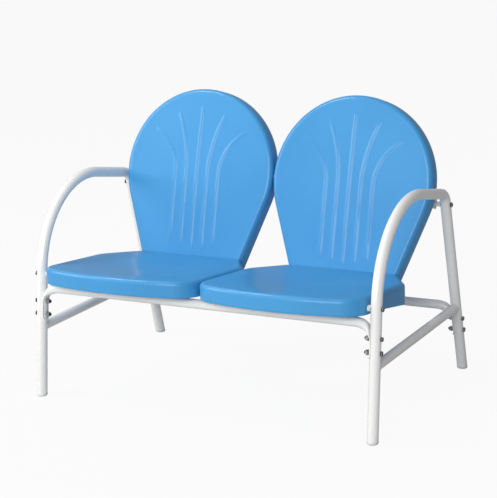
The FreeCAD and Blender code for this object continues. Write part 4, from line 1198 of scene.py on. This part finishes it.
def bolt_mesh(d, length):
    """Hexagon bolt: the head above zero, the threaded shank below."""
    six, cone, high = hexagon(HEX_FLATS * d), HEX_FLATS * d * 0.475, HEAD_HIGH * d
    drop = lambda a: high - max(0.0, six(a) - cone) * CHAMFER
    rows = [(0.0, high - 0.02 * d), (cone * 0.8, high - 0.02 * d), (cone, high),
            lambda a: (six(a), drop(a)), lambda a: (six(a), 0.05 * d), (cone, 0.0), (d / 2, 0.0)]
    pitch, thread = THREAD_PITCH * d, THREAD_LONG * d
    rows += [(d / 2, -(length - thread))]
    for k in range(int(thread / pitch)):
        z = -(length - thread) - k * pitch
        rows += [(d * 0.43, z - pitch * 0.5), (d / 2, z - pitch)]
    rows += [(d * 0.40, -length), (0.0, -length)]
    return turned("bolt", rows, 24, edges=(2, 3))


def nut_mesh(d):
    """Hexagon nut that stands on zero."""
    six, cone, high = hexagon(HEX_FLATS * d), HEX_FLATS * d * 0.475, NUT_HIGH * d
    cut = lambda a: max(0.0, six(a) - cone) * CHAMFER
    bore = d / 2 + 0.1 * MM
    rows = [(bore, 0.06 * d), (d * 0.56, 0.0), (cone, 0.0), lambda a: (six(a), cut(a)),
            lambda a: (six(a), high - cut(a)), (cone, high), (d * 0.56, high),
            (bore, high - 0.06 * d)]
    return turned("nut", rows, 24, closed=True, edges=(3, 4, 5))


def washer_mesh(inner, outer, high, soft):
    """Washer or spacer that stands on zero, with softened rims."""
    rows = [(inner, soft), (inner + soft, 0), (outer - soft, 0), (outer, soft),
            (outer, high - soft), (outer - soft, high), (inner + soft, high), (inner, high - soft)]
    return turned("washer", rows, 32, closed=True, edges=(3, 4))


def set_hardware(name, node, part_mesh, places, slot, seed):
    """Copies of a part at places, each a point and an axis, as one piece."""
    part = bpy.data.objects.new("part", part_mesh)
    bpy.context.scene.collection.objects.link(part)
    mesh = run_tree(name, [p for p, _ in places], [], HARDWARE,
                    {"Part": part, "Seed": seed, "Finish": FINISH[slot]},
                    axes=[a for _, a in places])
    bpy.data.objects.remove(part)
    return new_piece(name, mesh, slot, node)


# %% [markdown]
# A joint is described once, on the right side where it has a twin: where the head bears, which
# way it faces, how thick the joint is, and what lies between. The loop below makes its
# bolts, washers, nuts and spacers from that, and mirrors the places for the left side.

# %% Place the hardware
WASHER_T = 1.6 * MM
BOLT_D = 8 * MM
WASHER_R = 1.0625 * BOLT_D
PAST_NUT = 4 * MM
TUCK = 0.2 * MM


def twins(places):
    """The places and their mirror images."""
    flip = np.array((-1, 1, 1))
    return places + [(p * flip, a * flip) for p, a in places]


def fasten(prefix, heads, grip, washers, spacer=None, seed=1):
    """Hardware of one kind of joint. Distances are measured from under the head."""
    back = lambda far: [(p - a * far, -a) for p, a in heads]
    length = grip + NUT_HIGH * BOLT_D + PAST_NUT
    kinds = [("hex_bolts", "bolts", bolt_mesh(BOLT_D, length), heads, "black_zinc"),
             ("hex_nuts", "nuts", nut_mesh(BOLT_D), back(grip), "bright_zinc"),
             ("flat_washers", "washers",
              washer_mesh(BOLT_D / 2 + 0.1 * MM, WASHER_R, WASHER_T, 0.25 * MM),
              [place for far in washers for place in back(far)], "bright_zinc")]
    if spacer:
        start, long, outer = spacer
        sleeve = washer_mesh(BOLT_D / 2 + 0.3 * MM, outer, long, 0.6 * MM)
        kinds.append(("sleeves", "spacers", sleeve, back(start), "spacer_nylon"))
    for k, (shown, group, part, places, slot) in enumerate(kinds):
        set_hardware(f"{prefix}_{shown}", f"{prefix}_{group}", part, places, slot, seed + k)


RIGHT = np.array((1.0, 0, 0))
for prefix, z, leg_y, seed in (("front_rail", FRONT_RAIL_Z, front_leg_y, 11),
                               ("rear_rail", REAR_RAIL_Z, rear_leg_y, 21)):
    top, down = np.array((OUTER_X, leg_y(z), z)), leg_down(leg_y)
    grip = 2 * TUBE_R + TANG_T + WASHER_T
    fasten(prefix, twins([(top + down * far, RIGHT) for far in BOLT_DROPS]), grip,
           [grip - WASHER_T], seed=seed)


def side_joint(prefix, z, leg_y, wall, outer, seed):
    """Bolt through a leg and a spacer into a shell or its bracket."""
    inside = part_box(prefix + "_washers")[1].x
    grip = OUTER_X - inside + WASHER_T
    fasten(prefix, twins([(np.array((OUTER_X, leg_y(z), z)), RIGHT)]), grip, [grip - WASHER_T],
           (2 * TUBE_R, INNER_X - wall, outer), seed=seed)


side_joint("seat_side", 376 * MM, front_leg_y, SEAT_X + SEAT_HALF, 9 * MM, 31)
side_joint("back_side", 555 * MM, rear_leg_y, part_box("right_back_bracket")[1].x, 7.5 * MM, 41)

inside = joint_hi.x + SHEET + TUCK + WASHER_T
seat_joints = [(np.array((inside, joint_lo.y + WASHER_R, joint_hi.z - WASHER_R)), RIGHT),
               (np.array((inside, joint_hi.y - WASHER_R, joint_lo.z + WASHER_R)), RIGHT)]
fasten("seat_joint", seat_joints, 2 * inside, [0, 2 * inside - WASHER_T],
       (inside - joint_hi.x, 2 * joint_hi.x, WASHER_R), seed=51)
inside = back_joint_hi.x + SHEET + TUCK + WASHER_T
middle = (back_joint_lo + back_joint_hi) / 2
fasten("back_joint", [(np.array((inside, middle.y, middle.z)), RIGHT)], 2 * inside,
       [0, 2 * inside - WASHER_T], (inside - back_joint_hi.x, 2 * back_joint_hi.x, WASHER_R), seed=61)

rearward = np.array((0, math.cos(LEAN), -math.sin(LEAN)))
WALL_BOLT_RISE, WALL_BOLT_EDGE = -34 * MM, 52 * MM
wide = back_half_width(WALL_BOLT_RISE) - WALL_BOLT_EDGE
wall_bolts = [(back_place(*np.array((x, WALL_BOLT_RISE, SHEET + WASHER_T))), rearward)
              for x in (-wide, 0.0, wide)]
fasten("seat_back", twins(wall_bolts), 2 * (SHEET + WASHER_T), [0, 2 * SHEET + WASHER_T], seed=71)

CLIP_T, CLIP_OUT = 3 * MM, 130 * MM
clip_top = (front_leg_y(FRONT_RAIL_Z), FRONT_RAIL_Z + RAIL_R + CLIP_T)
clip_screws = [(np.array((SEAT_X + x, *clip_top)), np.array((0, 0, 1.0)))
               for x in (-CLIP_OUT, CLIP_OUT)]
set_hardware("seat_clip_hex_screws", "seat_clip_screws", bolt_mesh(6 * MM, 16 * MM),
             twins(clip_screws), "black_zinc", 81)

# %% [markdown]
# ## What stays from the frame
#
# The back brackets and the seat clips are plain folded strips, so the frame's own shapes are
# shown for them. They only need a finish, and the record names one for every node.

# %% Finish the frame nodes that stay
slots = {part["node"]: part["material_slot"] for part in frame["record"]["subparts"]}
for name, node in frame["nodes"].items():
    for holder in node.material_slots:
        holder.material = FINISH.get(slots.get(name), holder.material)
print("finishes given to", len(slots), "frame nodes")
